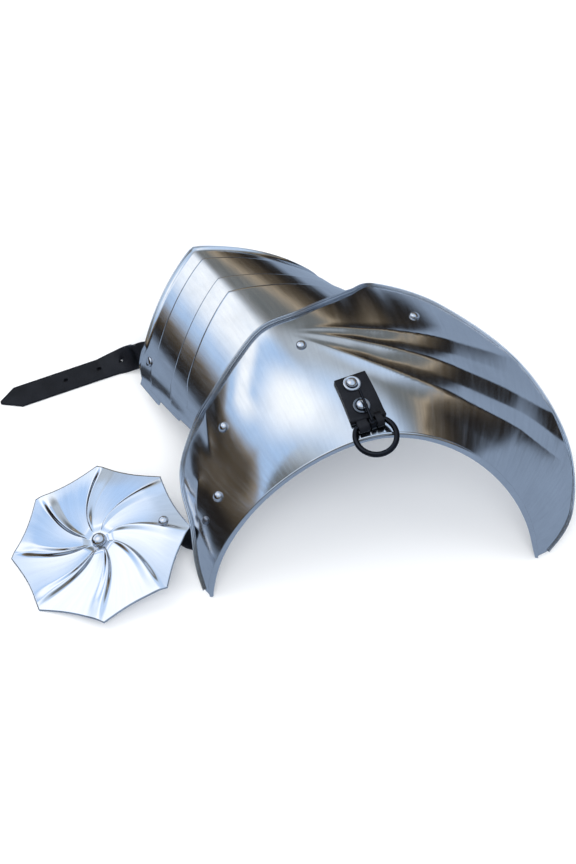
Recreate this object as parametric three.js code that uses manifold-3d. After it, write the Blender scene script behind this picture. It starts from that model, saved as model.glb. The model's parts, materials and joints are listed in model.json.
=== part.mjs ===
import * as THREE from "three";
import { mergeVertices } from "three/addons/utils/BufferGeometryUtils.js";
import Module from "manifold-3d";

const wasm = await Module();
wasm.setup();

// A right shoulder defence of polished plate, lying on a surface.
// Millimetres. +Y runs out along the arm, +X to the wearer's back, -X to the wearer's front, +Z up.

// Sheet and clearances
const STEEL = 1.3; // sheet thickness of the plate and the lames
const DISC_STEEL = 1.2; // sheet thickness of the hanging disc
const FIT = 0.35; // gap between pieces that touch

// The arm: a cone that narrows away from the shoulder, with a soft ridge along its top
const ARM_RADIUS = 79.5; // outside radius of the end lame at its free edge
const ARM_TAPER = 9.8; // half angle of the cone, degrees
const ARM_YAW = 2; // turn of the arm axis from +Y, degrees
const ARM_OFFSET = -18.5; // where the arm axis crosses the X axis
const ARM_HEIGHT = 10.4; // height of the arm axis above the surface at Y = 0
const ARM_DROOP = 0.08; // fall of the arm axis for each millimetre outwards
const RIDGE_TURN = 98; // angle of the ridge round the arm at END_REACH, degrees from +X
const RIDGE_DRIFT = 0.1; // degrees that the ridge turns to the front for each millimetre inwards
const RIDGE_RISE = 9; // how far the ridge stands above the round form
const RIDGE_SPREAD = 60; // degrees each side over which the ridge fades out
const RIDGE_SHARPNESS = 1.6; // power of the fade, 1 is a straight roof

// The lames
const END_REACH = 172; // distance of the end lame's free edge along the arm
const LAME_POINT = 36; // how far each free edge runs forward at the ridge
const POINT_SPREAD = 55; // degrees each side over which the point fades out
const POINT_SHARPNESS = 1.2;
const LAME_LAP = 15; // how far each lame runs on under the next one
const PLATE_LAP = 9; // how far the first lame runs on under the main plate
const LAME_SWEEP = 0.12; // degrees by which the front ends draw back for each millimetre inwards
const CORNER_SPREAD = 9; // degrees over which the front corners of the lames are rounded
const CORNER_DEPTH = 7;
const END_RIM = 4.2; // width of the end lame's turned rim
const RIM_TURN = 62; // how far a rim turns up from the sheet, degrees

// Free edge: reach as a share of END_REACH, slant as a share of ARM_RADIUS,
// front and back: angles round the arm at which the lame stops, degrees
const LAMES = [
  { name: "lame_4", edge: 0.99, slant: 0.08, front: 168, back: 0 },
  { name: "lame_3", edge: 0.92, slant: 0.05, front: 164, back: 5 },
  { name: "lame_2", edge: 0.757, slant: 0.0, front: 162, back: 9 },
  { name: "lame_1", edge: 0.65, slant: -0.05, front: 155, back: 14 },
];

// The main plate's neck edge: an arch that leans outwards
const NECK_SPAN = 220;
const NECK_RISE = 112;
const NECK_LEAN = 18; // degrees from upright
const NECK_TURN = -28; // turn of the arch's base line from the X axis, degrees
const NECK_X = -53.5; // middle of the base line
const NECK_Y = -52;
const NECK_FULLNESS = 1.8; // 2 is an ellipse, 1 a triangle
const NECK_SKEW = 0.08; // shift of the crown towards the wearer's back

// The main plate's outer edge
const PLATE_REACH = 100; // length that the along column below is a share of
const PLATE_LIFT = 1.4; // clearance that the yawing lame below it needs
const NECK_RIM = 3.2; // width of the turned rim at the neck
const OUTER_RIM = 1.6; // width of the turned rim at the outer edge
// A row for each section from the front tip to the back tip.
// neck: place on the neck arch, degrees. turn: angle round the arm, degrees.
// reach: share of the arm cone's radius there. along: share of PLATE_REACH.
// rise and fall: angles at which the sheet leaves the neck edge and meets the outer edge.
const SECTIONS = [
  { neck: 1, turn: 185, reach: 1.14, along: 0.01, rise: 2, fall: 2 },
  { neck: 10, turn: 179, reach: 1.13, along: 0.16, rise: 12, fall: 12 },
  { neck: 20, turn: 171, reach: 1.1, along: 0.35, rise: 16, fall: 16 },
  { neck: 29, turn: 165, reach: 1.095, along: 0.56, rise: 18, fall: 18 },
  { neck: 37, turn: 158, reach: 1.07, along: 0.7, rise: 20, fall: 18 },
  { neck: 46, turn: 145, reach: 1.0, along: 0.81, rise: 20, fall: 18 },
  { neck: 55, turn: 131, reach: 1.0, along: 0.82, rise: 20, fall: 17 },
  { neck: 64, turn: 117, reach: 1.0, along: 0.87, rise: 20, fall: 17 },
  { neck: 74, turn: 103, reach: 1.0, along: 0.93, rise: 20, fall: 17 },
  { neck: 81, turn: 89, reach: 1.0, along: 0.9, rise: 20, fall: 17 },
  { neck: 90, turn: 72, reach: 1.0, along: 0.95, rise: 20, fall: 17 },
  { neck: 98, turn: 59, reach: 1.02, along: 1.02, rise: 20, fall: 17 },
  { neck: 107, turn: 46, reach: 1.1, along: 1.05, rise: 20, fall: 18 },
  { neck: 123, turn: 35, reach: 1.19, along: 0.69, rise: 20, fall: 18 },
  { neck: 140, turn: 26, reach: 1.155, along: 0.04, rise: 18, fall: 18 },
  { neck: 157, turn: 17, reach: 0.97, along: -0.57, rise: 16, fall: 16 },
  { neck: 170, turn: 4, reach: 0.735, along: -0.94, rise: 12, fall: 12 },
  { neck: 178, turn: -12, reach: 0.57, along: -1.01, rise: 2, fall: 2 },
];

// Flutes of the back wing: raised creases that fan out, seen from above, from one point
const FAN_X = -35;
const FAN_Y = 84;
const FAN_REACH = 168; // length of the longest crease
const FLUTE_HEIGHT = 3.2;
const FLUTE_WIDTH = 0.1; // half width of a crease as a share of the distance from the fan's point
const FLUTE_FOOT = 3; // half width of a crease at the fan's point
// angle: from +X, degrees. bend: how far the crease bows to the neck side, a share of FAN_REACH.
const FLUTES = [
  { angle: -31.5, bend: 0.0 },
  { angle: -44, bend: 0.012 },
  { angle: -53.5, bend: 0.06 },
];

// Creases of the front wing, from a start to an end given as place and across on the plate
const CREASE_HEIGHT = 2.2;
const CREASE_WIDTH = 8; // half width
const CREASES = [
  { place: 0.32, across: 0.98, endPlace: 0.285, endAcross: 0.55 },
  { place: 0.24, across: 0.62, endPlace: 0.15, endAcross: 0.6 },
];

// Rivets: domed heads outside, hammered flat inside
const RIVET_HEAD = 3.6; // radius
const RIVET_DOME = 2.4;
const RIVET_SHANK = 1.6; // radius
const RIVET_TAIL = 2.8; // radius
const RIVET_TAIL_DEPTH = 0.9;
const FLAT_DOME = 0.5; // height of a flatter head, share of RIVET_DOME
const SMALL_HEAD = 0.8; // size of a smaller head, share of RIVET_HEAD
const SMALL_DOME = 0.7; // and its height, share of RIVET_DOME

const LEATHER = 2; // thickness of the straps
const LINING_GAP = 1.4; // between the curved sheet and the flat leather behind it
// Place on the main plate, from front tip to back tip, and across it, from neck to edge
const PLATE_RIVETS = [
  { name: "plate_rivet_1", place: 0.516, across: 0.737 },
  { name: "plate_rivet_2", place: 0.732, across: 0.749 },
  { name: "plate_rivet_3", place: 0.337, across: 0.685 },
  { name: "plate_rivet_4", place: 0.25, across: 0.325 },
];
const STRAP_RIVET_SEAT = { name: "disc_strap_rivet", place: 0.18, across: 0.391 };

// Inner leathers that carry the lames
const INNER_LEATHER_WIDTH = 15;
const INNER_LEATHERS = [
  { name: "inner_leather_1", rivet: 0 },
  { name: "inner_leather_2", rivet: 1 },
  { name: "inner_leather_3", rivet: 2 },
];

// Buckle tab at the neck edge
const TAB = { place: 0.593, across: 0.052, endPlace: 0.574, endAcross: 0.357 };
const TAB_WIDTH = 24; // at the buckle
const TAB_END_WIDTH = 22;
const TAB_LAYER = 1.7; // the tab is folded, so it is two layers thick
const TAB_SLOT = 5.4; // width of the slot for the tongue
const TAB_RIVETS = [
  { name: "tab_rivet_1", washer: "tab_washer_1", at: 0.82 },
  { name: "tab_rivet_2", washer: "tab_washer_2", at: 0.36 },
];
const TAB_RIVET_SIDE = -1.2; // how far the rivets stand off the middle line
const FOLD_TAPER = 0.2; // share of the tab's length over which it thins from the fold
const FOLD_END = 0.1; // share of the length at which the tab takes its full width
const FOLD_WIDTH = 17.5;
const FOLD_SWELL = 3.4; // how much thicker the tab is at the bar
const FOLD_STAND = 1.5; // gap under the fold as a multiple of FIT
const WASHER_RADIUS = 6;
const WASHER_THICKNESS = 0.9;
const TAB_RIVET_DOME = 1.8;

// Buckle: a bowed ring whose straight bar lies in the fold of the tab
const WIRE_RADIUS = 1.9;
const BAR_FIT = 0.3; // running clearance round the bar
const BUCKLE_WIDTH = 30.5; // over all
const BUCKLE_DEPTH = 25; // from the bar's middle to the outside of the bow
const BOW_DROP = 0.37; // where the bow is widest, a share of BUCKLE_DEPTH
const TONGUE_RADIUS = 1.2;
const TONGUE_LENGTH = 26;
const TONGUE_SIDE = 1.2; // how far the tongue stands off the middle line
const TONGUE_RING = 1.5; // wall of the tongue's eye
const TONGUE_EYE_WIDTH = 3.6;

// The hanging disc: eight points with hollow sides, and eight swirled flutes
const DISC_RADIUS = 62; // centre to point
const DISC_POINTS = 8;
const DISC_WAIST = 0.885; // radius in the middle of a side, share of DISC_RADIUS
const DISC_DOME = 5;
const DISC_DISH = 1.6; // depth of the small dish round the middle rivet
const DISC_SWIRL = 40; // degrees that a flute turns between the middle and its point
const DISC_FLUTE = 2.2;
const DISC_PHASE = -32; // direction of the point that lies at the main plate, degrees
const DISC_TOUCH_X = -138.5; // where that point meets the main plate's edge
const DISC_TOUCH_Y = 38.4;
const DISC_TILT = 13.4; // degrees, the side at the main plate is up
const DISC_TILT_TURN = 172; // direction that the disc leans to, degrees
const DISC_HUB_HEAD = 5.2; // radius of the middle rivet's head
const DISC_HUB_DOME = 3.4;
const DISC_RIVET_AT = 0.73; // share of DISC_RADIUS
const DISC_RIVET_TURN = -25.8;
const DISC_RINGS = [0.035, 0.1, 0.2, 0.34, 0.5, 0.68, 0.85, 1]; // share of the radius
const DISC_FRACTIONS = [0, 0.3, 0.6, 0.85, 0.96]; // share of the way from flute to flute
const DISC_STRAP_WIDTH = 15;
const DISC_STRAP_DROP = 2.4; // gap under the disc that its dome needs
// Middle line of the disc's strap between its rivets, below the edge of the front wing
const DISC_STRAP_PATH = [
  { x: -144.5, y: 46, z: 15.8, side: [0.5, 0.85, 0.05] },
  { x: -138.5, y: 38.5, z: 12, side: [0.5, 0.85, 0.15] },
  { x: -131, y: 33, z: 17, side: [0.45, 0.8, 0.3] },
  { x: -129.5, y: 30, z: 29, side: [0.35, 0.8, 0.45] },
];

// Arm strap, riveted inside the end lame and lying out on the surface
const STRAP_WIDTH = 18.5;
const STRAP_POINT = 9; // length of its pointed end
const STRAP_TIP_WIDTH = 2.2;
const STRAP_RIVET_TURN = 152; // angle round the arm
const STRAP_RIVET_INSET = 8; // from the end lame's free edge
const STRAP_START = 2.4; // where the strap starts inside, a multiple of STRAP_RIVET_INSET
const STRAP_HOLE = 1.7; // radius
const STRAP_SETTLE = 6; // length over which the strap comes to lie flat
// Middle line of the strap from the end lame down to the surface.
// front and out: distance from where it passes the lame's free edge. side: direction across the strap
const STRAP_DROP = [
  { front: 0.6, out: 12.9, z: 19.5, side: [-0.1, 0.35, 0.93] },
  { front: 0.6, out: 21.9, z: 10, side: [0.1, 0.75, 0.66] },
  { front: 8.6, out: 29.4, z: 3, side: [0.18, 0.95, 0.22] },
];
// The stretch that lies flat
const STRAP_LIE = { front: 20.6, out: 32.5 };
const STRAP_TIP = { front: 95.6, out: 47.4 };
const STRAP_HOLES = [0.02, 0.4]; // places along the stretch that lies flat
const STRAP_FIRST_HOLE = 16; // distance of one more hole before that stretch

// Mesh fineness
const FRONT_STEPS = 20; // sections of the main plate in front of its middle
const BACK_STEPS = 36; // and behind it, where the flutes are
const PLATE_ACROSS = 12; // from neck edge to outer edge
const LAME_STEPS = 14; // on each side of the ridge
const LAME_ACROSS = 3;
const ROUND_SIDES = 8; // rivets, holes and washers
const WIRE_SIDES = 8;
const BAR_SIDES = 16; // what turns on the bar
const BOW_STEPS = 18; // round the buckle's bow
const TAB_STEPS = 6;
const INNER_STEPS = 14; // along an inner leather
const DISC_STRAP_STEPS = 18;
const STRAP_STEPS = 20; // along the arm strap down to where it lies flat

const STEEL_LOOK = { color: 0xb9bec6, roughness: 0.24, metalness: 1 };
const RIVET_LOOK = { color: 0xcfd2d6, roughness: 0.18, metalness: 1 };
const LEATHER_LOOK = { color: 0x17161a, roughness: 0.6, metalness: 0 };
const BUCKLE_LOOK = { color: 0x1b1c22, roughness: 0.35, metalness: 0.8 };

const rad = THREE.MathUtils.degToRad;
const v3 = (x, y, z) => new THREE.Vector3(x, y, z);

// Closed meshes from grids

function geometryFrom(points, triangles) {
  const g = new THREE.BufferGeometry();
  const flat = new Float32Array(points.length * 3);
  points.forEach((p, i) => flat.set([p.x, p.y, p.z], i * 3));
  g.setAttribute("position", new THREE.BufferAttribute(flat, 3));
  g.setIndex(triangles);
  return g;
}

function signedVolume(points, triangles) {
  let sum = 0;
  const cross = v3();
  for (let i = 0; i < triangles.length; i += 3) {
    const [a, b, c] = [0, 1, 2].map((k) => points[triangles[i + k]]);
    sum += a.dot(cross.crossVectors(b, c));
  }
  return sum / 6;
}

function facingOut(points, triangles) {
  if (signedVolume(points, triangles) < 0)
    for (let i = 0; i < triangles.length; i += 3)
      [triangles[i + 1], triangles[i + 2]] = [triangles[i + 2], triangles[i + 1]];
  return geometryFrom(points, triangles);
}

// A closed body between two grids of the same size.
function shellBetween(upper, lower) {
  const rows = upper.length;
  const cols = upper[0].length;
  const points = [...upper.flat(), ...lower.flat()];
  const triangles = [];
  const at = (side, i, j) => side * rows * cols + i * cols + j;
  const quad = (a, b, c, d) => triangles.push(a, b, c, a, c, d);
  for (let i = 0; i < rows - 1; i++)
    for (let j = 0; j < cols - 1; j++) {
      quad(at(0, i, j), at(0, i, j + 1), at(0, i + 1, j + 1), at(0, i + 1, j));
      quad(at(1, i, j), at(1, i + 1, j), at(1, i + 1, j + 1), at(1, i, j + 1));
    }
  for (let i = 0; i < rows - 1; i++) {
    quad(at(0, i, 0), at(0, i + 1, 0), at(1, i + 1, 0), at(1, i, 0));
    quad(at(0, i + 1, cols - 1), at(0, i, cols - 1), at(1, i, cols - 1), at(1, i + 1, cols - 1));
  }
  for (let j = 0; j < cols - 1; j++) {
    quad(at(0, 0, j + 1), at(0, 0, j), at(1, 0, j), at(1, 0, j + 1));
    quad(at(0, rows - 1, j), at(0, rows - 1, j + 1), at(1, rows - 1, j + 1), at(1, rows - 1, j));
  }
  return facingOut(points, triangles);
}

function gridNormals(grid) {
  const rows = grid.length;
  const cols = grid[0].length;
  return grid.map((row, i) =>
    row.map((_, j) => {
      const along = v3().subVectors(grid[Math.min(i + 1, rows - 1)][j], grid[Math.max(i - 1, 0)][j]);
      const across = v3().subVectors(row[Math.min(j + 1, cols - 1)], row[Math.max(j - 1, 0)]);
      return along.cross(across).normalize();
    }),
  );
}

// A sheet of one thickness whose outside is the grid. The side given by outward keeps its place.
function sheet(grid, thickness, outward) {
  const normals = gridNormals(grid);
  const i = Math.floor(grid.length / 2);
  const j = Math.floor(grid[0].length / 2);
  const side = normals[i][j].dot(outward(grid[i][j])) > 0 ? 1 : -1;
  const lower = grid.map((row, a) =>
    row.map((p, b) => p.clone().addScaledVector(normals[a][b], -side * thickness)),
  );
  return shellBetween(grid, lower);
}

// The arm cone

const ridgeTurn = (along) => RIDGE_TURN + RIDGE_DRIFT * (END_REACH - along);

function ridgeBump(turn, along) {
  const near = Math.max(0, 1 - Math.abs(turn - ridgeTurn(along)) / RIDGE_SPREAD);
  return RIDGE_RISE * near ** RIDGE_SHARPNESS;
}

// Outside radius of the lame that lies in the given layer, 0 for the end lame.
function armRadius(along, layer) {
  const wider = (END_REACH - along) * Math.tan(rad(ARM_TAPER));
  return ARM_RADIUS + wider + layer * (STEEL + FIT);
}

function armPoint(turn, radius, along) {
  const side = radius * Math.cos(rad(turn));
  const up = radius * Math.sin(rad(turn));
  return v3(
    ARM_OFFSET + side * Math.cos(rad(ARM_YAW)) + along * Math.sin(rad(ARM_YAW)),
    along * Math.cos(rad(ARM_YAW)) - side * Math.sin(rad(ARM_YAW)),
    up + ARM_HEIGHT - along * ARM_DROOP,
  );
}

// The main plate

function neckPoint(place) {
  const u = -Math.cos(rad(place));
  const skewed = Math.abs(u - NECK_SKEW * (1 - u * u));
  const height = NECK_RISE * (1 - skewed ** NECK_FULLNESS) ** (1 / NECK_FULLNESS);
  const base = v3(Math.cos(rad(NECK_TURN)), Math.sin(rad(NECK_TURN)), 0);
  const out = v3(-base.y, base.x, 0);
  return v3(NECK_X, NECK_Y, 0)
    .addScaledVector(base, (u * NECK_SPAN) / 2)
    .addScaledVector(out, height * Math.sin(rad(NECK_LEAN)))
    .add(v3(0, 0, height * Math.cos(rad(NECK_LEAN))));
}

// The value of a column between two rows of the table, on a smooth curve.
function column(name, place) {
  const last = SECTIONS.length - 1;
  const at = Math.min(Math.max(place, 0), 1) * last;
  const i = Math.min(Math.floor(at), last - 1);
  const f = at - i;
  const p = [i - 1, i, i + 1, i + 2].map((k) => SECTIONS[Math.min(Math.max(k, 0), last)][name]);
  const slopeA = (p[2] - p[0]) / 2;
  const slopeB = (p[3] - p[1]) / 2;
  const f2 = f * f;
  const f3 = f2 * f;
  return (
    (2 * f3 - 3 * f2 + 1) * p[1] +
    (f3 - 2 * f2 + f) * slopeA +
    (-2 * f3 + 3 * f2) * p[2] +
    (f3 - f2) * slopeB
  );
}

const SECTION_PULL = 0.36; // how far a section keeps its end directions, as a share of its chord
const PLATE_CORE = v3(-25, 0, 0); // a point inside the shoulder that the sheet bows away from

function outerPoint(place) {
  const turn = column("turn", place);
  const along = column("along", place) * PLATE_REACH;
  const radius = armRadius(along, LAMES.length) + ridgeBump(turn, along) + PLATE_LIFT;
  return armPoint(turn, radius * column("reach", place), along);
}

// The smooth sheet without its rims: place runs from front tip to back tip, across from neck to edge.
function smoothPoint(place, across) {
  const start = neckPoint(column("neck", place));
  const end = outerPoint(place);
  const chord = v3().subVectors(end, start);
  const length = chord.length();
  chord.normalize();
  const bow = v3().addVectors(start, end).multiplyScalar(0.5).sub(PLATE_CORE);
  bow.addScaledVector(chord, -bow.dot(chord)).normalize();
  const leave = rad(column("rise", place));
  const meet = rad(column("fall", place));
  const pull = SECTION_PULL * length;
  const first = start
    .clone()
    .addScaledVector(chord, pull * Math.cos(leave))
    .addScaledVector(bow, pull * Math.sin(leave));
  const second = end
    .clone()
    .addScaledVector(chord, -pull * Math.cos(meet))
    .addScaledVector(bow, pull * Math.sin(meet));
  return new THREE.CubicBezierCurve3(start, first, second, end).getPoint(across);
}

function plateNormal(place, across) {
  const d = 0.004;
  const p = Math.min(Math.max(place, d), 1 - d);
  const a = v3().subVectors(smoothPoint(p + d, across), smoothPoint(p - d, across));
  const b = v3().subVectors(smoothPoint(p, across + d), smoothPoint(p, across - d));
  return a.cross(b).normalize();
}

const softStep = (x, from, to) => THREE.MathUtils.smoothstep(x, from, to);

// Flutes rise and creases fade over these shares of their lengths, and the relief over the
// shares of the sheet's depth that lie beside its edges.
const FLUTE_START = [0.05, 0.4];
const CREASE_END = [0.6, 1];
const NECK_BORDER = 0.08;
const OUTER_BORDER = 0.96;

// Height of the flutes and creases over the smooth sheet.
function relief(place, across, p) {
  const dx = p.x - FAN_X;
  const dy = p.y - FAN_Y;
  const out = Math.hypot(dx, dy);
  const width = FLUTE_FOOT + FLUTE_WIDTH * out;
  let height = 0;
  for (const flute of FLUTES) {
    const a = rad(flute.angle);
    const onward = dx * Math.cos(a) + dy * Math.sin(a);
    const share = Math.min(Math.max(onward / FAN_REACH, 0), 1);
    const bow = flute.bend * FAN_REACH * 4 * share * (1 - share);
    const aside = Math.abs(-dx * Math.sin(a) + dy * Math.cos(a) + bow);
    const rise = (1 - Math.min(aside / width, 1)) ** 2;
    height = Math.max(height, FLUTE_HEIGHT * rise * softStep(share, ...FLUTE_START));
  }
  for (const crease of CREASES) {
    const from = smoothPoint(crease.place, crease.across);
    const to = smoothPoint(crease.endPlace, crease.endAcross);
    const line = new THREE.Line3(from, to);
    const t = line.closestPointToPointParameter(p, true);
    const aside = line.at(t, v3()).distanceTo(p);
    const rise = (1 - Math.min(aside / CREASE_WIDTH, 1)) ** 2;
    height = Math.max(height, CREASE_HEIGHT * rise * (1 - softStep(t, ...CREASE_END)));
  }
  return height * softStep(across, 0, NECK_BORDER) * (1 - softStep(across, OUTER_BORDER, 1));
}

function platePoint(place, across) {
  const p = smoothPoint(place, across);
  const height = relief(place, across, p);
  return height > 0 ? p.addScaledVector(plateNormal(place, across), height) : p;
}

const END_STAND_OFF = 0.005; // the normals of the rims are taken this far from the tips
const RIM_STAND_OFF = 0.002; // and this far from the edges

function plateGrid() {
  const grid = [];
  for (let i = 0; i <= FRONT_STEPS + BACK_STEPS; i++) {
    const place = i < FRONT_STEPS ? i / FRONT_STEPS / 2 : 0.5 + (i - FRONT_STEPS) / BACK_STEPS / 2;
    const row = [];
    for (let j = 0; j <= PLATE_ACROSS; j++) row.push(platePoint(place, j / PLATE_ACROSS));
    const inside = Math.min(Math.max(place, END_STAND_OFF), 1 - END_STAND_OFF);
    const rim = (edge, inner, n, width) => {
      const onward = v3().subVectors(edge, inner).normalize();
      return edge
        .clone()
        .addScaledVector(onward, width * Math.cos(rad(RIM_TURN)))
        .addScaledVector(n, width * Math.sin(rad(RIM_TURN)));
    };
    row.unshift(rim(row[0], row[1], plateNormal(inside, RIM_STAND_OFF), NECK_RIM));
    row.push(rim(row.at(-1), row.at(-2), plateNormal(inside, 1 - RIM_STAND_OFF), OUTER_RIM));
    grid.push(row);
  }
  return grid;
}

// A lame: a band of the arm cone with a pointed free edge

const frontEnd = (row, along) => row.front - LAME_SWEEP * (END_REACH - along);

function lameEdge(row, turn) {
  const peak = ridgeTurn(row.edge * END_REACH + LAME_POINT);
  const near = Math.max(0, 1 - Math.abs(turn - peak) / POINT_SPREAD);
  const slant = -row.slant * ARM_RADIUS * Math.cos(rad(turn));
  const front = frontEnd(row, row.edge * END_REACH);
  const corner = THREE.MathUtils.clamp(1 - (front - turn) / CORNER_SPREAD, 0, 1);
  const point = LAME_POINT * near ** POINT_SHARPNESS;
  return row.edge * END_REACH + point + slant - CORNER_DEPTH * corner * corner;
}

function lameGrid(index) {
  const row = LAMES[index];
  const grid = [];
  for (let i = -LAME_STEPS; i <= LAME_STEPS; i++) {
    // One row of vertices follows the ridge, so that the nested lames keep their gap.
    const turnAt = (along) => {
      const ridge = ridgeTurn(along);
      const end = i < 0 ? frontEnd(row, along) : row.back;
      return ridge + (end - ridge) * Math.abs(i / LAME_STEPS);
    };
    const freeTurn = turnAt(row.edge * END_REACH + LAME_POINT);
    const free = lameEdge(row, freeTurn);
    const cover =
      index < LAMES.length - 1
        ? lameEdge(LAMES[index + 1], freeTurn) - LAME_LAP
        : outerAlong(freeTurn) - PLATE_LAP;
    const line = [];
    for (let j = 0; j <= LAME_ACROSS; j++) {
      const along = free + ((cover - free) * j) / LAME_ACROSS;
      const turn = turnAt(along);
      line.push(armPoint(turn, armRadius(along, index) + ridgeBump(turn, along), along));
    }
    if (index === 0) {
      const out = free + END_RIM * Math.cos(rad(RIM_TURN));
      const radius = armRadius(free, 0) + ridgeBump(turnAt(free), free) + END_RIM * Math.sin(rad(RIM_TURN));
      line.unshift(armPoint(turnAt(free), radius, out));
    }
    grid.push(line);
  }
  return grid;
}

// How far out along the arm the main plate's edge lies at a given angle round the arm.
function outerAlong(turn) {
  const middle = SECTIONS.slice(4, 13);
  const i = middle.findIndex((s, k) => k > 0 && s.turn <= turn);
  if (i < 0) return middle.at(-1).along * PLATE_REACH;
  const [a, b] = [middle[i - 1], middle[i]];
  const f = Math.min(Math.max((a.turn - turn) / (a.turn - b.turn), 0), 1);
  return (a.along + (b.along - a.along) * f) * PLATE_REACH;
}

// Joining and cutting

function solidFrom(geometry) {
  const bare = geometry.clone();
  bare.deleteAttribute("normal");
  bare.deleteAttribute("uv");
  const merged = mergeVertices(bare, 1e-4);
  return new wasm.Manifold(
    new wasm.Mesh({
      numProp: 3,
      vertProperties: merged.attributes.position.array,
      triVerts: new Uint32Array(merged.index.array),
    }),
  );
}

function geometryOf(solid) {
  const mesh = solid.getMesh();
  const g = new THREE.BufferGeometry();
  g.setAttribute("position", new THREE.BufferAttribute(mesh.vertProperties, 3));
  g.setIndex(new THREE.BufferAttribute(mesh.triVerts, 1));
  return g;
}

function cut(geometry, ...tools) {
  const solid = tools.reduce((left, tool) => left.subtract(solidFrom(tool)), solidFrom(geometry));
  return geometryOf(solid);
}

const join = (a, b) => geometryOf(solidFrom(a).add(solidFrom(b)));

// What lies under the surface that the object rests on.
function belowSurface() {
  const size = 4 * NECK_SPAN;
  return new THREE.BoxGeometry(size, size, size).translate(0, 0, -size / 2);
}

// Round pieces stand on a seat: a point and the direction that faces out of it.

function toSeat(geometry, seat) {
  const turn = new THREE.Quaternion().setFromUnitVectors(v3(0, 1, 0), seat.normal);
  return geometry.applyQuaternion(turn).translate(seat.at.x, seat.at.y, seat.at.z);
}

function turned(profile) {
  const points = profile.map(([r, y]) => new THREE.Vector2(r, y));
  const g = new THREE.LatheGeometry(points, ROUND_SIDES);
  return facingOut(
    Array.from({ length: g.attributes.position.count }, (_, i) =>
      v3().fromBufferAttribute(g.attributes.position, i),
    ),
    Array.from(g.index.array),
  );
}

// A rivet that clamps a stack of the given depth below its seat.
function rivet(head, dome, depth) {
  const back = depth + FIT;
  const arc = [0, 35, 65].map((a) => [head * Math.cos(rad(a)), FIT + dome * Math.sin(rad(a))]);
  return turned([
    [0, -back - RIVET_TAIL_DEPTH],
    [RIVET_TAIL, -back - RIVET_TAIL_DEPTH],
    [RIVET_TAIL, -back],
    [RIVET_SHANK, -back],
    [RIVET_SHANK, FIT],
    ...arc,
    [0, FIT + dome],
  ]);
}

// The drill for a rivet's hole.
function drill(depth) {
  return new THREE.CylinderGeometry(RIVET_SHANK + FIT, RIVET_SHANK + FIT, 2 * depth, ROUND_SIDES);
}

function plateSeat(row) {
  return { at: platePoint(row.place, row.across), normal: plateNormal(row.place, row.across) };
}

// Straps: a flat band along a list of stations, each with a middle, a side direction and a half width

function band(stations, thickness) {
  const upper = [];
  const lower = [];
  stations.forEach((s, i) => {
    const before = stations[Math.max(i - 1, 0)].at;
    const after = stations[Math.min(i + 1, stations.length - 1)].at;
    const onward = v3().subVectors(after, before).normalize();
    const side = s.side.clone().addScaledVector(onward, -s.side.dot(onward)).normalize();
    const up = v3().crossVectors(side, onward).multiplyScalar((s.thick ?? thickness) / 2);
    const edge = (sign) => s.at.clone().addScaledVector(side, sign * s.half);
    upper.push([edge(-1).add(up), edge(1).add(up)]);
    lower.push([edge(-1).sub(up), edge(1).sub(up)]);
  });
  return shellBetween(upper, lower);
}

// Stations on a smooth curve through control rows, each with a point, a side direction and a half width.
function smoothStations(rows, steps) {
  const path = new THREE.CatmullRomCurve3(rows.map((r) => r.at), false, "centripetal");
  const sides = new THREE.CatmullRomCurve3(rows.map((r) => r.side), false, "centripetal");
  return Array.from({ length: steps + 1 }, (_, i) => ({
    at: path.getPoint(i / steps),
    side: sides.getPoint(i / steps),
    half: rows[0].half,
  }));
}

// A round bar along points that lie in one plane with the given normal.
function wire(points, radius, planeNormal, closed) {
  const last = points.length - 1;
  const ring = (p, i) => {
    const before = closed ? points.at(i - 1) : points[Math.max(i - 1, 0)];
    const after = closed ? points[(i + 1) % points.length] : points[Math.min(i + 1, last)];
    const onward = v3().subVectors(after, before).normalize();
    const side = v3().crossVectors(planeNormal, onward).normalize();
    return Array.from({ length: WIRE_SIDES }, (_, k) => {
      const a = (2 * Math.PI * k) / WIRE_SIDES;
      return p
        .clone()
        .addScaledVector(side, radius * Math.cos(a))
        .addScaledVector(planeNormal, radius * Math.sin(a));
    });
  };
  const rings = points.map(ring);
  const vertices = rings.flat();
  const triangles = [];
  const turns = closed ? points.length : last;
  for (let i = 0; i < turns; i++)
    for (let k = 0; k < WIRE_SIDES; k++) {
      const a = i * WIRE_SIDES + k;
      const b = i * WIRE_SIDES + ((k + 1) % WIRE_SIDES);
      const c = ((i + 1) % points.length) * WIRE_SIDES + ((k + 1) % WIRE_SIDES);
      const d = ((i + 1) % points.length) * WIRE_SIDES + k;
      triangles.push(a, b, c, a, c, d);
    }
  if (!closed)
    for (let k = 1; k < WIRE_SIDES - 1; k++) {
      const end = last * WIRE_SIDES;
      triangles.push(0, k + 1, k, end, end + k, end + k + 1);
    }
  return facingOut(vertices, triangles);
}

// Middle of a flat strip of the given half width that lies inside the end lame's cone.
function insideCone(turn, along, half) {
  const spread = THREE.MathUtils.radToDeg(half / ARM_RADIUS);
  const bump = Math.min(ridgeBump(turn - spread, along), ridgeBump(turn + spread, along));
  const sag = (half * half) / (2 * ARM_RADIUS);
  const depth = STEEL + 2 * FIT + sag + LEATHER / 2;
  return armPoint(turn, armRadius(along, 0) + bump - depth, along);
}

// Inner leathers: each runs from its plate rivet down inside the lames

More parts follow.
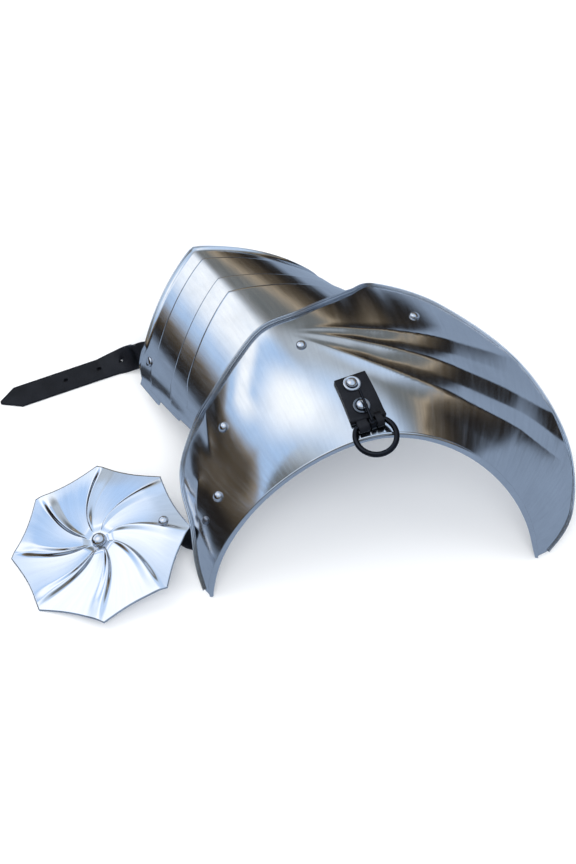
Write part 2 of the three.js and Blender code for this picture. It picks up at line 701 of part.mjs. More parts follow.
function innerLeather(row) {
  const seat = plateSeat(PLATE_RIVETS[row.rivet]);
  const inset = STEEL + LINING_GAP + LEATHER / 2;
  const start = seat.at.clone().addScaledVector(seat.normal, -inset);
  const axisX = ARM_OFFSET + start.y * Math.sin(rad(ARM_YAW));
  const axisZ = ARM_HEIGHT - start.y * ARM_DROOP;
  const turn = THREE.MathUtils.radToDeg(Math.atan2(start.z - axisZ, start.x - axisX));
  const half = INNER_LEATHER_WIDTH / 2;
  const inside = (along) => insideCone(turn, along, half);
  const lap = outerAlong(turn) - PLATE_LAP;
  const end = lameEdge(LAMES[0], turn) - 2 * END_RIM;
  const onward = v3().subVectors(inside(lap), start);
  onward.addScaledVector(seat.normal, -onward.dot(seat.normal)).setLength(RIVET_HEAD * 2);
  const side = v3(-Math.sin(rad(turn)), 0, Math.cos(rad(turn)));
  const seatSide = v3().crossVectors(onward, seat.normal).normalize();
  if (seatSide.dot(side) < 0) seatSide.negate();
  const rows = [
    { at: start.clone().sub(onward), side: seatSide, half },
    { at: start, side: seatSide, half },
    { at: start.clone().addScaledVector(onward, 0.5), side: seatSide, half },
    ...[lap, (lap + end) / 2, end].map((along) => ({ at: inside(along), side, half })),
  ];
  return { geometry: band(smoothStations(rows, INNER_STEPS), LEATHER), seat };
}

// Buckle tab, buckle and tongue, in a frame at the tab's fold:
// u along the neck edge, v inwards over the plate, n out of it

const fold = plateSeat(TAB);
const tabEnd = platePoint(TAB.endPlace, TAB.endAcross);
const tabFrame = (() => {
  const n = fold.normal;
  const v = v3().subVectors(tabEnd, fold.at);
  v.addScaledVector(n, -v.dot(n)).normalize();
  return { u: v3().crossVectors(v, n), v, n };
})();
const tabPlace = (u, v, n) =>
  fold.at
    .clone()
    .addScaledVector(tabFrame.u, u)
    .addScaledVector(tabFrame.v, v)
    .addScaledVector(tabFrame.n, n);
const TAB_THICKNESS = 2 * TAB_LAYER;
const FOLD_RADIUS = WIRE_RADIUS + BAR_FIT + TAB_LAYER;
const BAR_HEIGHT = FOLD_STAND * FIT + FOLD_RADIUS;
const barMiddle = tabPlace(0, 0, BAR_HEIGHT);

function tabSeat(share, side, height) {
  const place = TAB.place + (TAB.endPlace - TAB.place) * share;
  const across = TAB.across + (TAB.endAcross - TAB.across) * share;
  const normal = plateNormal(place, across);
  const aside = tabFrame.u.clone().addScaledVector(normal, -tabFrame.u.dot(normal)).normalize();
  const at = smoothPoint(place, across).addScaledVector(aside, side).addScaledVector(normal, height);
  return { at, normal, aside };
}

function alongBar(geometry) {
  const turn = new THREE.Matrix4().makeBasis(tabFrame.v, tabFrame.n, tabFrame.u);
  return geometry.applyMatrix4(turn).translate(barMiddle.x, barMiddle.y, barMiddle.z);
}

function roundAlongBar(radius, length, aside) {
  const g = new THREE.CylinderGeometry(radius, radius, length, BAR_SIDES);
  return alongBar(g.rotateX(Math.PI / 2).translate(0, 0, aside));
}

function tabStrip(from, to, steps, widths) {
  const stations = [];
  for (let i = 0; i <= steps; i++) {
    const share = from + ((to - from) * i) / steps;
    const thick = TAB_THICKNESS + Math.max(0, 1 - share / FOLD_TAPER) * FOLD_SWELL;
    const seat = tabSeat(share, 0, FIT + thick / 2);
    const half = (widths[0] + ((widths[1] - widths[0]) * i) / steps) / 2;
    stations.push({ at: seat.at, side: seat.aside, half, thick });
  }
  return band(stations, TAB_THICKNESS);
}

const tabHoles = () =>
  TAB_RIVETS.map((r) => toSeat(drill(3 * TAB_THICKNESS), tabSeat(r.at, TAB_RIVET_SIDE, 0)));

function tabBody() {
  const wide = tabStrip(FOLD_END, 1, TAB_STEPS, [TAB_WIDTH, TAB_END_WIDTH]);
  const narrow = tabStrip(0, FOLD_TAPER, 2, [FOLD_WIDTH, FOLD_WIDTH]);
  const folded = join(join(wide, narrow), roundAlongBar(FOLD_RADIUS, FOLD_WIDTH, 0));
  const room = 2 * (WIRE_RADIUS + BAR_FIT + TONGUE_RING + FIT);
  const slot = new THREE.BoxGeometry(2 * room, room + TAB_THICKNESS, TAB_SLOT);
  const eye = roundAlongBar(WIRE_RADIUS + BAR_FIT, 2 * TAB_WIDTH, 0);
  return cut(folded, eye, alongBar(slot.translate(0, 0, TONGUE_SIDE)), ...tabHoles());
}

// The ring lies on the plate's rim at rest.
const rimTop = NECK_RIM * Math.sin(rad(RIM_TURN));
const rimAway = fold.at.distanceTo(neckPoint(column("neck", TAB.place)));
const buckleLift = Math.atan2(rimTop + WIRE_RADIUS + FIT - BAR_HEIGHT, rimAway);

function buckleFrame() {
  const wide = BUCKLE_WIDTH / 2 - WIRE_RADIUS;
  const drop = BOW_DROP * BUCKLE_DEPTH;
  const deep = BUCKLE_DEPTH - WIRE_RADIUS - drop;
  const from = Math.asin(Math.min(drop / deep, 0.9));
  const points = [];
  for (let i = 0; i <= BOW_STEPS; i++) {
    const a = from - ((Math.PI + 2 * from) * i) / BOW_STEPS;
    points.push([wide * Math.cos(a), deep * Math.sin(a) - drop]);
  }
  const onward = tabFrame.v
    .clone()
    .multiplyScalar(Math.cos(buckleLift))
    .addScaledVector(tabFrame.n, -Math.sin(buckleLift));
  const normal = v3().crossVectors(tabFrame.u, onward).normalize();
  const placed = points.map(([a, b]) =>
    barMiddle.clone().addScaledVector(tabFrame.u, a).addScaledVector(onward, b),
  );
  return wire(placed, WIRE_RADIUS, normal, true);
}

function buckleTongue() {
  const eyeOuter = WIRE_RADIUS + BAR_FIT + TONGUE_RING;
  const eye = cut(
    roundAlongBar(eyeOuter, TONGUE_EYE_WIDTH, TONGUE_SIDE),
    roundAlongBar(WIRE_RADIUS + BAR_FIT, 2 * TONGUE_EYE_WIDTH, TONGUE_SIDE),
  );
  const rivetTop = FIT + TAB_THICKNESS + FIT + WASHER_THICKNESS + FIT + TAB_RIVET_DOME;
  const rise = rivetTop + FIT + TONGUE_RADIUS - BAR_HEIGHT;
  const rivetAway = TAB_RIVETS[1].at * fold.at.distanceTo(tabEnd);
  const root = WIRE_RADIUS + BAR_FIT + TONGUE_RADIUS;
  const slope = Math.max(rise - root, 0) / (rivetAway - RIVET_HEAD);
  const points = [0, 0.5, 1].map((t) =>
    tabPlace(TONGUE_SIDE, t * TONGUE_LENGTH, BAR_HEIGHT + root + slope * t * TONGUE_LENGTH),
  );
  return join(eye, wire(points, TONGUE_RADIUS, tabFrame.u, false));
}

// The hanging disc

const discTurn = (() => {
  const lean = v3(Math.cos(rad(DISC_TILT_TURN)), Math.sin(rad(DISC_TILT_TURN)), 0);
  const normal = lean.multiplyScalar(Math.sin(rad(DISC_TILT)));
  normal.z = Math.cos(rad(DISC_TILT));
  return new THREE.Quaternion().setFromUnitVectors(v3(0, 0, 1), normal);
})();
const discMiddle = v3(
  DISC_TOUCH_X - DISC_RADIUS * Math.cos(rad(DISC_PHASE)),
  DISC_TOUCH_Y - DISC_RADIUS * Math.sin(rad(DISC_PHASE)),
  0,
);

const SIDE_POWER = 1.4; // shape of the hollow sides, 1 is straight
const SWIRL_POWER = 1.5; // above 1 the flutes turn more near the middle
const PLEAT_START = [0.12, 0.38]; // shares of the radius over which a flute rises
const PLEAT_END = [0.7, 1]; // and over which it sinks
const PLEAT_SINK = 0.6;
const DISH_EDGE = [0.09, 0.2];

function discPoint(turn, share, sector) {
  const toPoint = Math.abs(sector - 0.5) * 2;
  const edge = DISC_RADIUS * (DISC_WAIST + (1 - DISC_WAIST) * toPoint ** SIDE_POWER);
  const r = share * edge;
  const sunk = PLEAT_SINK * softStep(share, ...PLEAT_END);
  const pleat = sector ** 2 * softStep(share, ...PLEAT_START) * (1 - sunk);
  const dome = DISC_DOME * (1 - share * share);
  const dish = DISC_DISH * (1 - softStep(share, ...DISH_EDGE));
  const angle = rad(DISC_PHASE + turn + DISC_SWIRL * (1 - share) ** SWIRL_POWER);
  return v3(r * Math.cos(angle), r * Math.sin(angle), dome - dish + DISC_FLUTE * pleat);
}

const onDisc = (p) => p.applyQuaternion(discTurn).add(discMiddle);

const discRows = [];
for (let k = 0; k < DISC_POINTS; k++)
  for (const f of DISC_FRACTIONS)
    discRows.push(DISC_RINGS.map((share) => discPoint(((k + f) * 360) / DISC_POINTS, share, f)));
// The lowest points of its edge touch the surface.
const down = v3(0, 0, -DISC_STEEL);
const lowest = (p) => onDisc(p.clone().add(down)).z;
discMiddle.z = -Math.min(...discRows.flat().map(lowest));

function disc() {
  const rows = discRows;
  const upper = rows.map((row) => row.map((p) => onDisc(p.clone())));
  const lower = rows.map((row) => row.map((p) => onDisc(p.clone().add(down))));
  return wrappedShell(upper, lower);
}

// A closed body between two grids whose rows go right round.
function wrappedShell(upper, lower) {
  const rows = upper.length;
  const cols = upper[0].length;
  const points = [...upper.flat(), ...lower.flat()];
  const triangles = [];
  const at = (side, i, j) => side * rows * cols + (i % rows) * cols + j;
  const quad = (a, b, c, d) => triangles.push(a, b, c, a, c, d);
  for (let i = 0; i < rows; i++) {
    for (let j = 0; j < cols - 1; j++) {
      quad(at(0, i, j), at(0, i, j + 1), at(0, i + 1, j + 1), at(0, i + 1, j));
      quad(at(1, i, j), at(1, i + 1, j), at(1, i + 1, j + 1), at(1, i, j + 1));
    }
    quad(at(0, i, 0), at(0, i + 1, 0), at(1, i + 1, 0), at(1, i, 0));
    quad(at(0, i + 1, cols - 1), at(0, i, cols - 1), at(1, i, cols - 1), at(1, i + 1, cols - 1));
  }
  return facingOut(points, triangles);
}

const discNormal = v3(0, 0, 1).applyQuaternion(discTurn);
const hubSeat = {
  at: onDisc(v3(0, 0, DISC_DOME - DISC_DISH)),
  normal: discNormal,
};
const discRivetSeat = (() => {
  const a = rad(DISC_RIVET_TURN);
  const r = DISC_RIVET_AT * DISC_RADIUS;
  const height = DISC_DOME * (1 - DISC_RIVET_AT ** 2) + DISC_FLUTE;
  return { at: onDisc(v3(r * Math.cos(a), r * Math.sin(a), height)), normal: discNormal };
})();

const discStack = DISC_STEEL + DISC_FLUTE + DISC_STRAP_DROP + LEATHER;

// Under a rivet's seat by the given depth, moved along the given direction.
const underSeat = (seat, depth, aside) =>
  seat.at.clone().addScaledVector(seat.normal, -depth).add(aside);

function discStrap() {
  const half = DISC_STRAP_WIDTH / 2;
  const end = RIVET_HEAD * 2;
  const path = DISC_STRAP_PATH.map((row) => ({ at: v3(row.x, row.y, row.z), side: v3(...row.side), half }));
  const ends = [
    { seat: discRivetSeat, depth: discStack - LEATHER / 2, next: path[0] },
    { seat: plateSeat(STRAP_RIVET_SEAT), depth: STEEL + LINING_GAP + LEATHER / 2, next: path.at(-1) },
  ].map(({ seat, depth, next }) => {
    const onward = v3().subVectors(next.at, seat.at);
    onward.addScaledVector(seat.normal, -onward.dot(seat.normal)).setLength(end);
    const side = v3().crossVectors(onward, seat.normal).normalize();
    if (side.dot(next.side) < 0) side.negate();
    const at = (sign) => underSeat(seat, depth, onward.clone().multiplyScalar(sign));
    return [-1, 0, 1].map((sign) => ({ at: at(sign), side, half }));
  });
  const rows = [...ends[0], ...path, ...ends[1].reverse()];
  const holes = [discRivetSeat, plateSeat(STRAP_RIVET_SEAT)].map((seat) => toSeat(drill(2 * end), seat));
  return cut(band(smoothStations(rows, DISC_STRAP_STEPS), LEATHER), ...holes);
}

// Arm strap

function armStrap() {
  const half = STRAP_WIDTH / 2;
  const turn = STRAP_RIVET_TURN;
  const free = lameEdge(LAMES[0], turn);
  const wall = (a, along) => armPoint(a, armRadius(along, 0) + ridgeBump(a, along), along);
  const along = free - STRAP_RIVET_INSET;
  const at = wall(turn, along);
  const round = wall(turn + 1, along).sub(at);
  const outwards = wall(turn, along + 1).sub(at);
  const normal = v3().crossVectors(outwards, round).normalize();
  const seat = { at, normal: normal.x < 0 ? normal : normal.negate() };
  const side = round.clone().normalize();
  const inside = [-STRAP_START * STRAP_RIVET_INSET, -STRAP_RIVET_INSET, 0].map((inset) => ({
    at: insideCone(turn, free + inset, half),
    side: side.clone().negate(),
    half,
  }));
  const depth = v3().subVectors(at, inside[1].at).dot(seat.normal) + LEATHER / 2;
  const edge = inside[2].at;
  const fromEdge = (row, z) => v3(edge.x - row.front, edge.y + row.out, z);
  const lie = fromEdge(STRAP_LIE, LEATHER / 2);
  const tip = fromEdge(STRAP_TIP, LEATHER / 2);
  const onward = v3().subVectors(tip, lie).normalize();
  const across = v3(-onward.y, onward.x, 0);
  const flatSide = across.y > 0 ? across : across.negate();
  const shoulder = tip.clone().addScaledVector(onward, -STRAP_POINT);
  const settled = lie.clone().addScaledVector(onward, STRAP_SETTLE);
  const rows = [
    ...inside,
    ...STRAP_DROP.map((row) => ({ at: fromEdge(row, row.z), side: v3(...row.side), half })),
    { at: lie, side: flatSide, half },
  ];
  const body = band(
    [
      ...smoothStations(rows, STRAP_STEPS),
      { at: settled, side: flatSide, half },
      { at: shoulder, side: flatSide, half },
      { at: tip, side: flatSide, half: STRAP_TIP_WIDTH / 2 },
    ],
    LEATHER,
  );
  const length = lie.distanceTo(shoulder);
  const punch = (distance) => {
    const hole = lie.clone().addScaledVector(onward, distance);
    const tool = new THREE.CylinderGeometry(STRAP_HOLE, STRAP_HOLE, 4 * LEATHER, ROUND_SIDES);
    return tool.rotateX(Math.PI / 2).translate(hole.x, hole.y, hole.z);
  };
  const holes = [-STRAP_FIRST_HOLE, ...STRAP_HOLES.map((share) => share * length)].map(punch);
  const below = belowSurface();
  const rivetHole = toSeat(drill(2 * STRAP_RIVET_INSET), seat);
  return { geometry: cut(body, below, ...holes, rivetHole), seat, depth };
}

// All pieces

const group = new THREE.Group();

function add(name, geometry, look) {
  const mesh = new THREE.Mesh(geometry, new THREE.MeshStandardMaterial(look));
  mesh.name = name;
  group.add(mesh);
  return mesh;
}

const armAxisAt = (p) => v3(p.x - ARM_OFFSET, 0, p.z);
const stack = STEEL + LINING_GAP + LEATHER;
const plateHoles = [...PLATE_RIVETS, STRAP_RIVET_SEAT].map((r) => toSeat(drill(2 * stack), plateSeat(r)));
const plate = sheet(plateGrid(), STEEL, (p) => p.clone().sub(PLATE_CORE));
add("main_plate", cut(plate, belowSurface(), ...plateHoles, ...tabHoles()), STEEL_LOOK);

const strap = armStrap();
LAMES.forEach((row, i) => {
  const body = sheet(lameGrid(i), STEEL, armAxisAt);
  const strapHole = i === 0 ? [toSeat(drill(2 * stack), strap.seat)] : [];
  add(row.name, cut(body, belowSurface(), ...strapHole), STEEL_LOOK);
});

for (const row of INNER_LEATHERS) {
  const leather = innerLeather(row);
  add(row.name, cut(leather.geometry, toSeat(drill(2 * stack), leather.seat)), LEATHER_LOOK);
}

PLATE_RIVETS.forEach((row, i) => {
  const lined = INNER_LEATHERS.some((l) => l.rivet === i);
  const depth = lined ? stack : STEEL;
  add(row.name, toSeat(rivet(RIVET_HEAD, RIVET_DOME, depth), plateSeat(row)), RIVET_LOOK);
});

add("buckle_tab", tabBody(), LEATHER_LOOK);
add("buckle_frame", buckleFrame(), BUCKLE_LOOK);
add("buckle_tongue", buckleTongue(), BUCKLE_LOOK);
for (const row of TAB_RIVETS) {
  const washerSeat = tabSeat(row.at, TAB_RIVET_SIDE, 2 * FIT + TAB_THICKNESS);
  const inner = RIVET_SHANK + FIT;
  const washer = turned([
    [inner, 0],
    [WASHER_RADIUS, 0],
    [WASHER_RADIUS, WASHER_THICKNESS],
    [inner, WASHER_THICKNESS],
    [inner, 0],
  ]);
  add(row.washer, toSeat(washer, washerSeat), RIVET_LOOK);
  const headSeat = tabSeat(row.at, TAB_RIVET_SIDE, 2 * FIT + TAB_THICKNESS + WASHER_THICKNESS);
  const depth = WASHER_THICKNESS + 2 * FIT + TAB_THICKNESS + STEEL;
  add(row.name, toSeat(rivet(RIVET_HEAD, TAB_RIVET_DOME, depth), headSeat), RIVET_LOOK);
}

const discHoles = [hubSeat, discRivetSeat].map((seat) => toSeat(drill(2 * discStack), seat));
add("disc", cut(disc(), ...discHoles), STEEL_LOOK);
add("disc_hub_rivet", toSeat(rivet(DISC_HUB_HEAD, DISC_HUB_DOME, DISC_STEEL), hubSeat), RIVET_LOOK);
add("disc_rivet", toSeat(rivet(RIVET_HEAD, RIVET_DOME, discStack), discRivetSeat), RIVET_LOOK);

const smallRivet = rivet(RIVET_HEAD * SMALL_HEAD, RIVET_DOME * SMALL_DOME, stack);
add(STRAP_RIVET_SEAT.name, toSeat(smallRivet, plateSeat(STRAP_RIVET_SEAT)), BUCKLE_LOOK);
add("disc_strap", discStrap(), LEATHER_LOOK);
add("arm_strap", strap.geometry, LEATHER_LOOK);
const flatRivet = rivet(RIVET_HEAD, RIVET_DOME * FLAT_DOME, strap.depth);
add("arm_strap_rivet", toSeat(flatRivet, strap.seat), RIVET_LOOK);

const bounds = new THREE.Box3().setFromObject(group);
const middle = bounds.getCenter(v3());
group.position.set(-middle.x, -middle.y, -bounds.min.z);

export default group;
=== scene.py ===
import json
import math

import bmesh
import bpy
import numpy as np
from mathutils import Matrix, Vector
from mathutils.kdtree import KDTree

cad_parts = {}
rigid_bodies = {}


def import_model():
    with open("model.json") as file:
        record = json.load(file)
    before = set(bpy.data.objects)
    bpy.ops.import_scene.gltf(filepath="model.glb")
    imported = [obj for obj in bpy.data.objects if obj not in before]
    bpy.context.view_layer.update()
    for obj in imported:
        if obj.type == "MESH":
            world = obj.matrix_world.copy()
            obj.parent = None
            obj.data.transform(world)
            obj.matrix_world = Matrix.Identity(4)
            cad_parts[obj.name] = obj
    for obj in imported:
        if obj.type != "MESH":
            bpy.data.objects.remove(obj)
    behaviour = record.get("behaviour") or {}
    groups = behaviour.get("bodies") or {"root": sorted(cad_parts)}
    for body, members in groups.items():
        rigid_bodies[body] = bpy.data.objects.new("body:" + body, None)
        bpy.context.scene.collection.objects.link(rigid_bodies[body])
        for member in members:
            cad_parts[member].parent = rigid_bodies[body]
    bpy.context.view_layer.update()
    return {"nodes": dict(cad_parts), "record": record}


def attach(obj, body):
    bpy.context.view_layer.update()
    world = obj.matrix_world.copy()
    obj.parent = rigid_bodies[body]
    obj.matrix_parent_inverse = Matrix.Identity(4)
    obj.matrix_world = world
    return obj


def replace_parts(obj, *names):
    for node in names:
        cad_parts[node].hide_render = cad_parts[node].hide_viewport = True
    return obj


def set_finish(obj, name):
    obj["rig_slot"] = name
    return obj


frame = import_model()
MM = 0.001
FLOOR_GAP = 0.02  # what is lower than this is cut off
# From the part's drawing frame to this one, in millimetres
SHIFT = np.array([72.3676643371582, -63.73102951049805, 0.0])

# Values of the CAD model, in millimetres and degrees, in the part's drawing frame
STEEL = 1.3
DISC_STEEL = 1.2
FIT = 0.35
ARM_RADIUS, ARM_TAPER, ARM_YAW, ARM_OFFSET, ARM_HEIGHT, ARM_DROOP = 79.5, 9.8, 2, -18.5, 10.4, 0.08
RIDGE_TURN, RIDGE_DRIFT, RIDGE_RISE, RIDGE_SPREAD, RIDGE_SHARPNESS = 98, 0.1, 9, 60, 1.6
END_REACH, LAME_POINT, POINT_SPREAD, POINT_SHARPNESS = 172, 36, 55, 1.2
LAME_LAP, PLATE_LAP, LAME_SWEEP, CORNER_SPREAD, CORNER_DEPTH = 15, 9, 0.12, 9, 7
END_RIM, RIM_TURN = 4.2, 62
# name, free edge, slant, front and back ends
LAMES = [
    ("lame_4", 0.99, 0.08, 168, 0),
    ("lame_3", 0.92, 0.05, 164, 5),
    ("lame_2", 0.757, 0.0, 162, 9),
    ("lame_1", 0.65, -0.05, 155, 14),
]
NECK_SPAN, NECK_RISE, NECK_LEAN, NECK_TURN, NECK_X, NECK_Y = 220, 112, 18, -28, -53.5, -52
NECK_FULLNESS, NECK_SKEW = 1.8, 0.08
PLATE_REACH, PLATE_LIFT, NECK_RIM, SECTION_PULL = 100, 1.4, 3.2, 0.36
PLATE_CORE = np.array([-25.0, 0, 0])
# neck, turn, reach, along, rise, fall
SECTIONS = np.array([
    (1, 185, 1.14, 0.01, 2, 2), (10, 179, 1.13, 0.16, 12, 12), (20, 171, 1.1, 0.35, 16, 16),
    (29, 165, 1.095, 0.56, 18, 18), (37, 158, 1.07, 0.7, 20, 18), (46, 145, 1.0, 0.81, 20, 18),
    (55, 131, 1.0, 0.82, 20, 17), (64, 117, 1.0, 0.87, 20, 17), (74, 103, 1.0, 0.93, 20, 17),
    (81, 89, 1.0, 0.9, 20, 17), (90, 72, 1.0, 0.95, 20, 17), (98, 59, 1.02, 1.02, 20, 17),
    (107, 46, 1.1, 1.05, 20, 18), (123, 35, 1.19, 0.69, 20, 18), (140, 26, 1.155, 0.04, 18, 18),
    (157, 17, 0.97, -0.57, 16, 16), (170, 4, 0.735, -0.94, 12, 12), (178, -12, 0.57, -1.01, 2, 2),
])
COLUMNS = {"neck": 0, "turn": 1, "reach": 2, "along": 3, "rise": 4, "fall": 5}
FAN_X, FAN_Y, FAN_REACH, FLUTE_FOOT = -35, 84, 168, 3
# angle, bend
FLUTES = [(-31.5, 0.0), (-44, 0.012), (-53.5, 0.06)]
# place and across of the start and of the end
CREASES = [(0.32, 0.98, 0.285, 0.55), (0.24, 0.62, 0.15, 0.6)]

# Values of this scene alone: softer and lower forms than the CAD model's, as the polish shows them
RIDGE_SOFTNESS = 5
FLUTE_HEIGHT, FLUTE_WIDTH, FLUTE_START, FLUTE_FULL = 1.7, 0.12, 0.05, 0.4
CREASE_HEIGHT, CREASE_WIDTH, CREASE_END = 0.6, 9, 0.6
NECK_BORDER, OUTER_BORDER = 0.08, 0.96


def rad(a):
    return np.deg2rad(a)


def unit(v):
    return v / np.maximum(np.linalg.norm(v, axis=-1, keepdims=True), 1e-12)


def dot(a, b):
    return np.sum(a * b, axis=-1)


def smooth(x, a, b):
    t = np.clip((x - a) / (b - a), 0, 1)
    return t * t * (3 - 2 * t)


# The arm cone

def ridge_turn(along):
    return RIDGE_TURN + RIDGE_DRIFT * (END_REACH - along)


def ridge_bump(turn, along):
    away = np.hypot(turn - ridge_turn(along), RIDGE_SOFTNESS)
    return RIDGE_RISE * np.maximum(0, 1 - away / RIDGE_SPREAD) ** RIDGE_SHARPNESS


def arm_radius(along, layer):
    return ARM_RADIUS + (END_REACH - along) * math.tan(rad(ARM_TAPER)) + layer * (STEEL + FIT)


def arm_point(turn, radius, along):
    side, up = radius * np.cos(rad(turn)), radius * np.sin(rad(turn))
    cy, sy = math.cos(rad(ARM_YAW)), math.sin(rad(ARM_YAW))
    return np.stack([
        ARM_OFFSET + side * cy + along * sy,
        along * cy - side * sy,
        up + ARM_HEIGHT - along * ARM_DROOP,
    ], -1)


# The main plate

def neck_point(place):
    u = -np.cos(rad(place))
    skewed = np.abs(u - NECK_SKEW * (1 - u * u))
    height = NECK_RISE * np.maximum(0, 1 - skewed ** NECK_FULLNESS) ** (1 / NECK_FULLNESS)
    bx, by = math.cos(rad(NECK_TURN)), math.sin(rad(NECK_TURN))
    out = height * math.sin(rad(NECK_LEAN))
    return np.stack([
        NECK_X + bx * u * NECK_SPAN / 2 - by * out,
        NECK_Y + by * u * NECK_SPAN / 2 + bx * out,
        height * math.cos(rad(NECK_LEAN)),
    ], -1)


def column(name, place):
    """One column of the table of sections, drawn as a smooth curve through its rows."""
    last = len(SECTIONS) - 1
    at = np.clip(place, 0, 1) * last
    i = np.minimum(np.floor(at).astype(int), last - 1)
    f = at - i
    c = SECTIONS[:, COLUMNS[name]]
    p = [c[np.clip(i + k, 0, last)] for k in (-1, 0, 1, 2)]
    a, b = (p[2] - p[0]) / 2, (p[3] - p[1]) / 2
    return ((2 * f**3 - 3 * f**2 + 1) * p[1] + (f**3 - 2 * f**2 + f) * a
            + (-2 * f**3 + 3 * f**2) * p[2] + (f**3 - f**2) * b)


def outer_point(place):
    turn, along = column("turn", place), column("along", place) * PLATE_REACH
    radius = arm_radius(along, len(LAMES)) + ridge_bump(turn, along) + PLATE_LIFT
    return arm_point(turn, radius * column("reach", place), along)


def smooth_point(place, across):
    """The main plate without its flutes. place runs along the neck edge, across from it outwards."""
    place, across = np.broadcast_arrays(np.asarray(place, float), np.asarray(across, float))
    start, end = neck_point(column("neck", place)), outer_point(place)
    chord = end - start
    length = np.linalg.norm(chord, axis=-1, keepdims=True)
    chord = chord / length
    bow = (start + end) / 2 - PLATE_CORE
    bow = unit(bow - dot(bow, chord)[..., None] * chord)
    leave, meet = rad(column("rise", place))[..., None], rad(column("fall", place))[..., None]
    pull = SECTION_PULL * length
    first = start + chord * pull * np.cos(leave) + bow * pull * np.sin(leave)
    second = end - chord * pull * np.cos(meet) + bow * pull * np.sin(meet)
    t = across[..., None]
    return (start * (1 - t)**3 + 3 * first * t * (1 - t)**2 + 3 * second * t**2 * (1 - t) + end * t**3)


NORMAL_STEP = 0.004


def plate_normal(place, across):
    d = NORMAL_STEP
    place, across = np.broadcast_arrays(np.asarray(place, float), np.asarray(across, float))
    p = np.clip(place, d, 1 - d)
    a = smooth_point(p + d, across) - smooth_point(p - d, across)
    b = smooth_point(p, across + d) - smooth_point(p, across - d)
    return unit(np.cross(a, b))


def relief(across, p):
    """Height of the flutes and creases over the smooth plate at p."""
    dx, dy = p[..., 0] - FAN_X, p[..., 1] - FAN_Y
    width = FLUTE_FOOT + FLUTE_WIDTH * np.hypot(dx, dy)
    height = np.zeros_like(dx)
    for angle, bend in FLUTES:
        c, s = math.cos(rad(angle)), math.sin(rad(angle))
        share = np.clip((dx * c + dy * s) / FAN_REACH, 0, 1)
        bow = bend * FAN_REACH * 4 * share * (1 - share)
        aside = np.abs(-dx * s + dy * c + bow)
        rise = (1 - np.minimum(aside / width, 1))**2
        height = np.maximum(height, FLUTE_HEIGHT * rise * smooth(share, FLUTE_START, FLUTE_FULL))
    for place_a, across_a, place_b, across_b in CREASES:
        a, b = smooth_point(place_a, across_a), smooth_point(place_b, across_b)
        line = b - a
        t = np.clip(dot(p - a, line) / dot(line, line), 0, 1)
        aside = np.linalg.norm(a + t[..., None] * line - p, axis=-1)
        rise = (1 - np.minimum(aside / CREASE_WIDTH, 1))**2
        height = np.maximum(height, CREASE_HEIGHT * rise * (1 - smooth(t, CREASE_END, 1)))
    return height * smooth(across, 0, NECK_BORDER) * (1 - smooth(across, OUTER_BORDER, 1))


def plate_point(place, across):
    place, across = np.broadcast_arrays(np.asarray(place, float), np.asarray(across, float))
    p = smooth_point(place, across)
    return p + plate_normal(place, across) * relief(across, p)[..., None]


# Meshes

def to_frame(points):
    return (np.asarray(points, float) + SHIFT) * MM


JOIN_WITHIN, SMALLEST_EDGE = 2e-6, 1e-6  # metres


def cut_at_floor(bm):
    """Cuts off what would be under the floor and closes the cut."""
    everything = list(bm.verts) + list(bm.edges) + list(bm.faces)
    bmesh.ops.bisect_plane(bm, geom=everything, plane_co=(0, 0, FLOOR_GAP * MM), plane_no=(0, 0, 1),
                           clear_inner=True)
    bmesh.ops.holes_fill(bm, edges=[e for e in bm.edges if e.is_boundary])


def new_object(name, points, faces, body, slot):
    """A closed mesh from points in the drawing frame, with its faces turned outwards."""
    mesh = bpy.data.meshes.new(name)
    mesh.from_pydata([tuple(p) for p in to_frame(points).reshape(-1, 3)], [], faces)
    bm = bmesh.new()
    bm.from_mesh(mesh)
    bmesh.ops.remove_doubles(bm, verts=bm.verts, dist=JOIN_WITHIN)
    bmesh.ops.dissolve_degenerate(bm, edges=bm.edges, dist=SMALLEST_EDGE)
    if min(v.co.z for v in bm.verts) < 0:
        cut_at_floor(bm)
    bmesh.ops.recalc_face_normals(bm, faces=bm.faces)
    if bm.calc_volume(signed=True) < 0:
        bmesh.ops.reverse_faces(bm, faces=bm.faces)
    bm.to_mesh(mesh)
    bm.free()
    mesh.shade_smooth()
    obj = bpy.data.objects.new(name, mesh)
    bpy.context.scene.collection.objects.link(obj)
    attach(obj, body)
    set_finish(obj, slot)
    return obj


def grid_faces(rows, cols, start=0, wrap=False):
    i, j = np.meshgrid(np.arange(rows if wrap else rows - 1), np.arange(cols - 1), indexing="ij")
    nxt = (i + 1) % rows
    quads = np.stack([i * cols + j, i * cols + j + 1, nxt * cols + j + 1, nxt * cols + j], -1)
    return (quads.reshape(-1, 4) + start).tolist()


def shell(name, outer, inner, body, slot, wrap=False):
    """A closed sheet between two grids of the same size. Its map follows the grid, in metres."""
    rows, cols = outer.shape[:2]
    n = rows * cols
    faces = grid_faces(rows, cols, 0, wrap) + grid_faces(rows, cols, n, wrap)
    if wrap:
        loops = [[i * cols for i in range(rows)], [i * cols + cols - 1 for i in range(rows)]]
    else:
        edge = [(i, 0) for i in range(rows)] + [(rows - 1, j) for j in range(1, cols)]
        edge += [(i, cols - 1) for i in range(rows - 2, -1, -1)]
        edge += [(0, j) for j in range(cols - 2, 0, -1)]
        loops = [[i * cols + j for i, j in edge]]
    for ids in loops:
        for a, b in zip(ids, ids[1:] + ids[:1]):
            faces.append([b, a, a + n, b + n])
    points = np.concatenate([outer.reshape(-1, 3), inner.reshape(-1, 3)])
    obj = new_object(name, points, faces, body, slot)
    attribute_map(obj, outer, inner)
    return obj


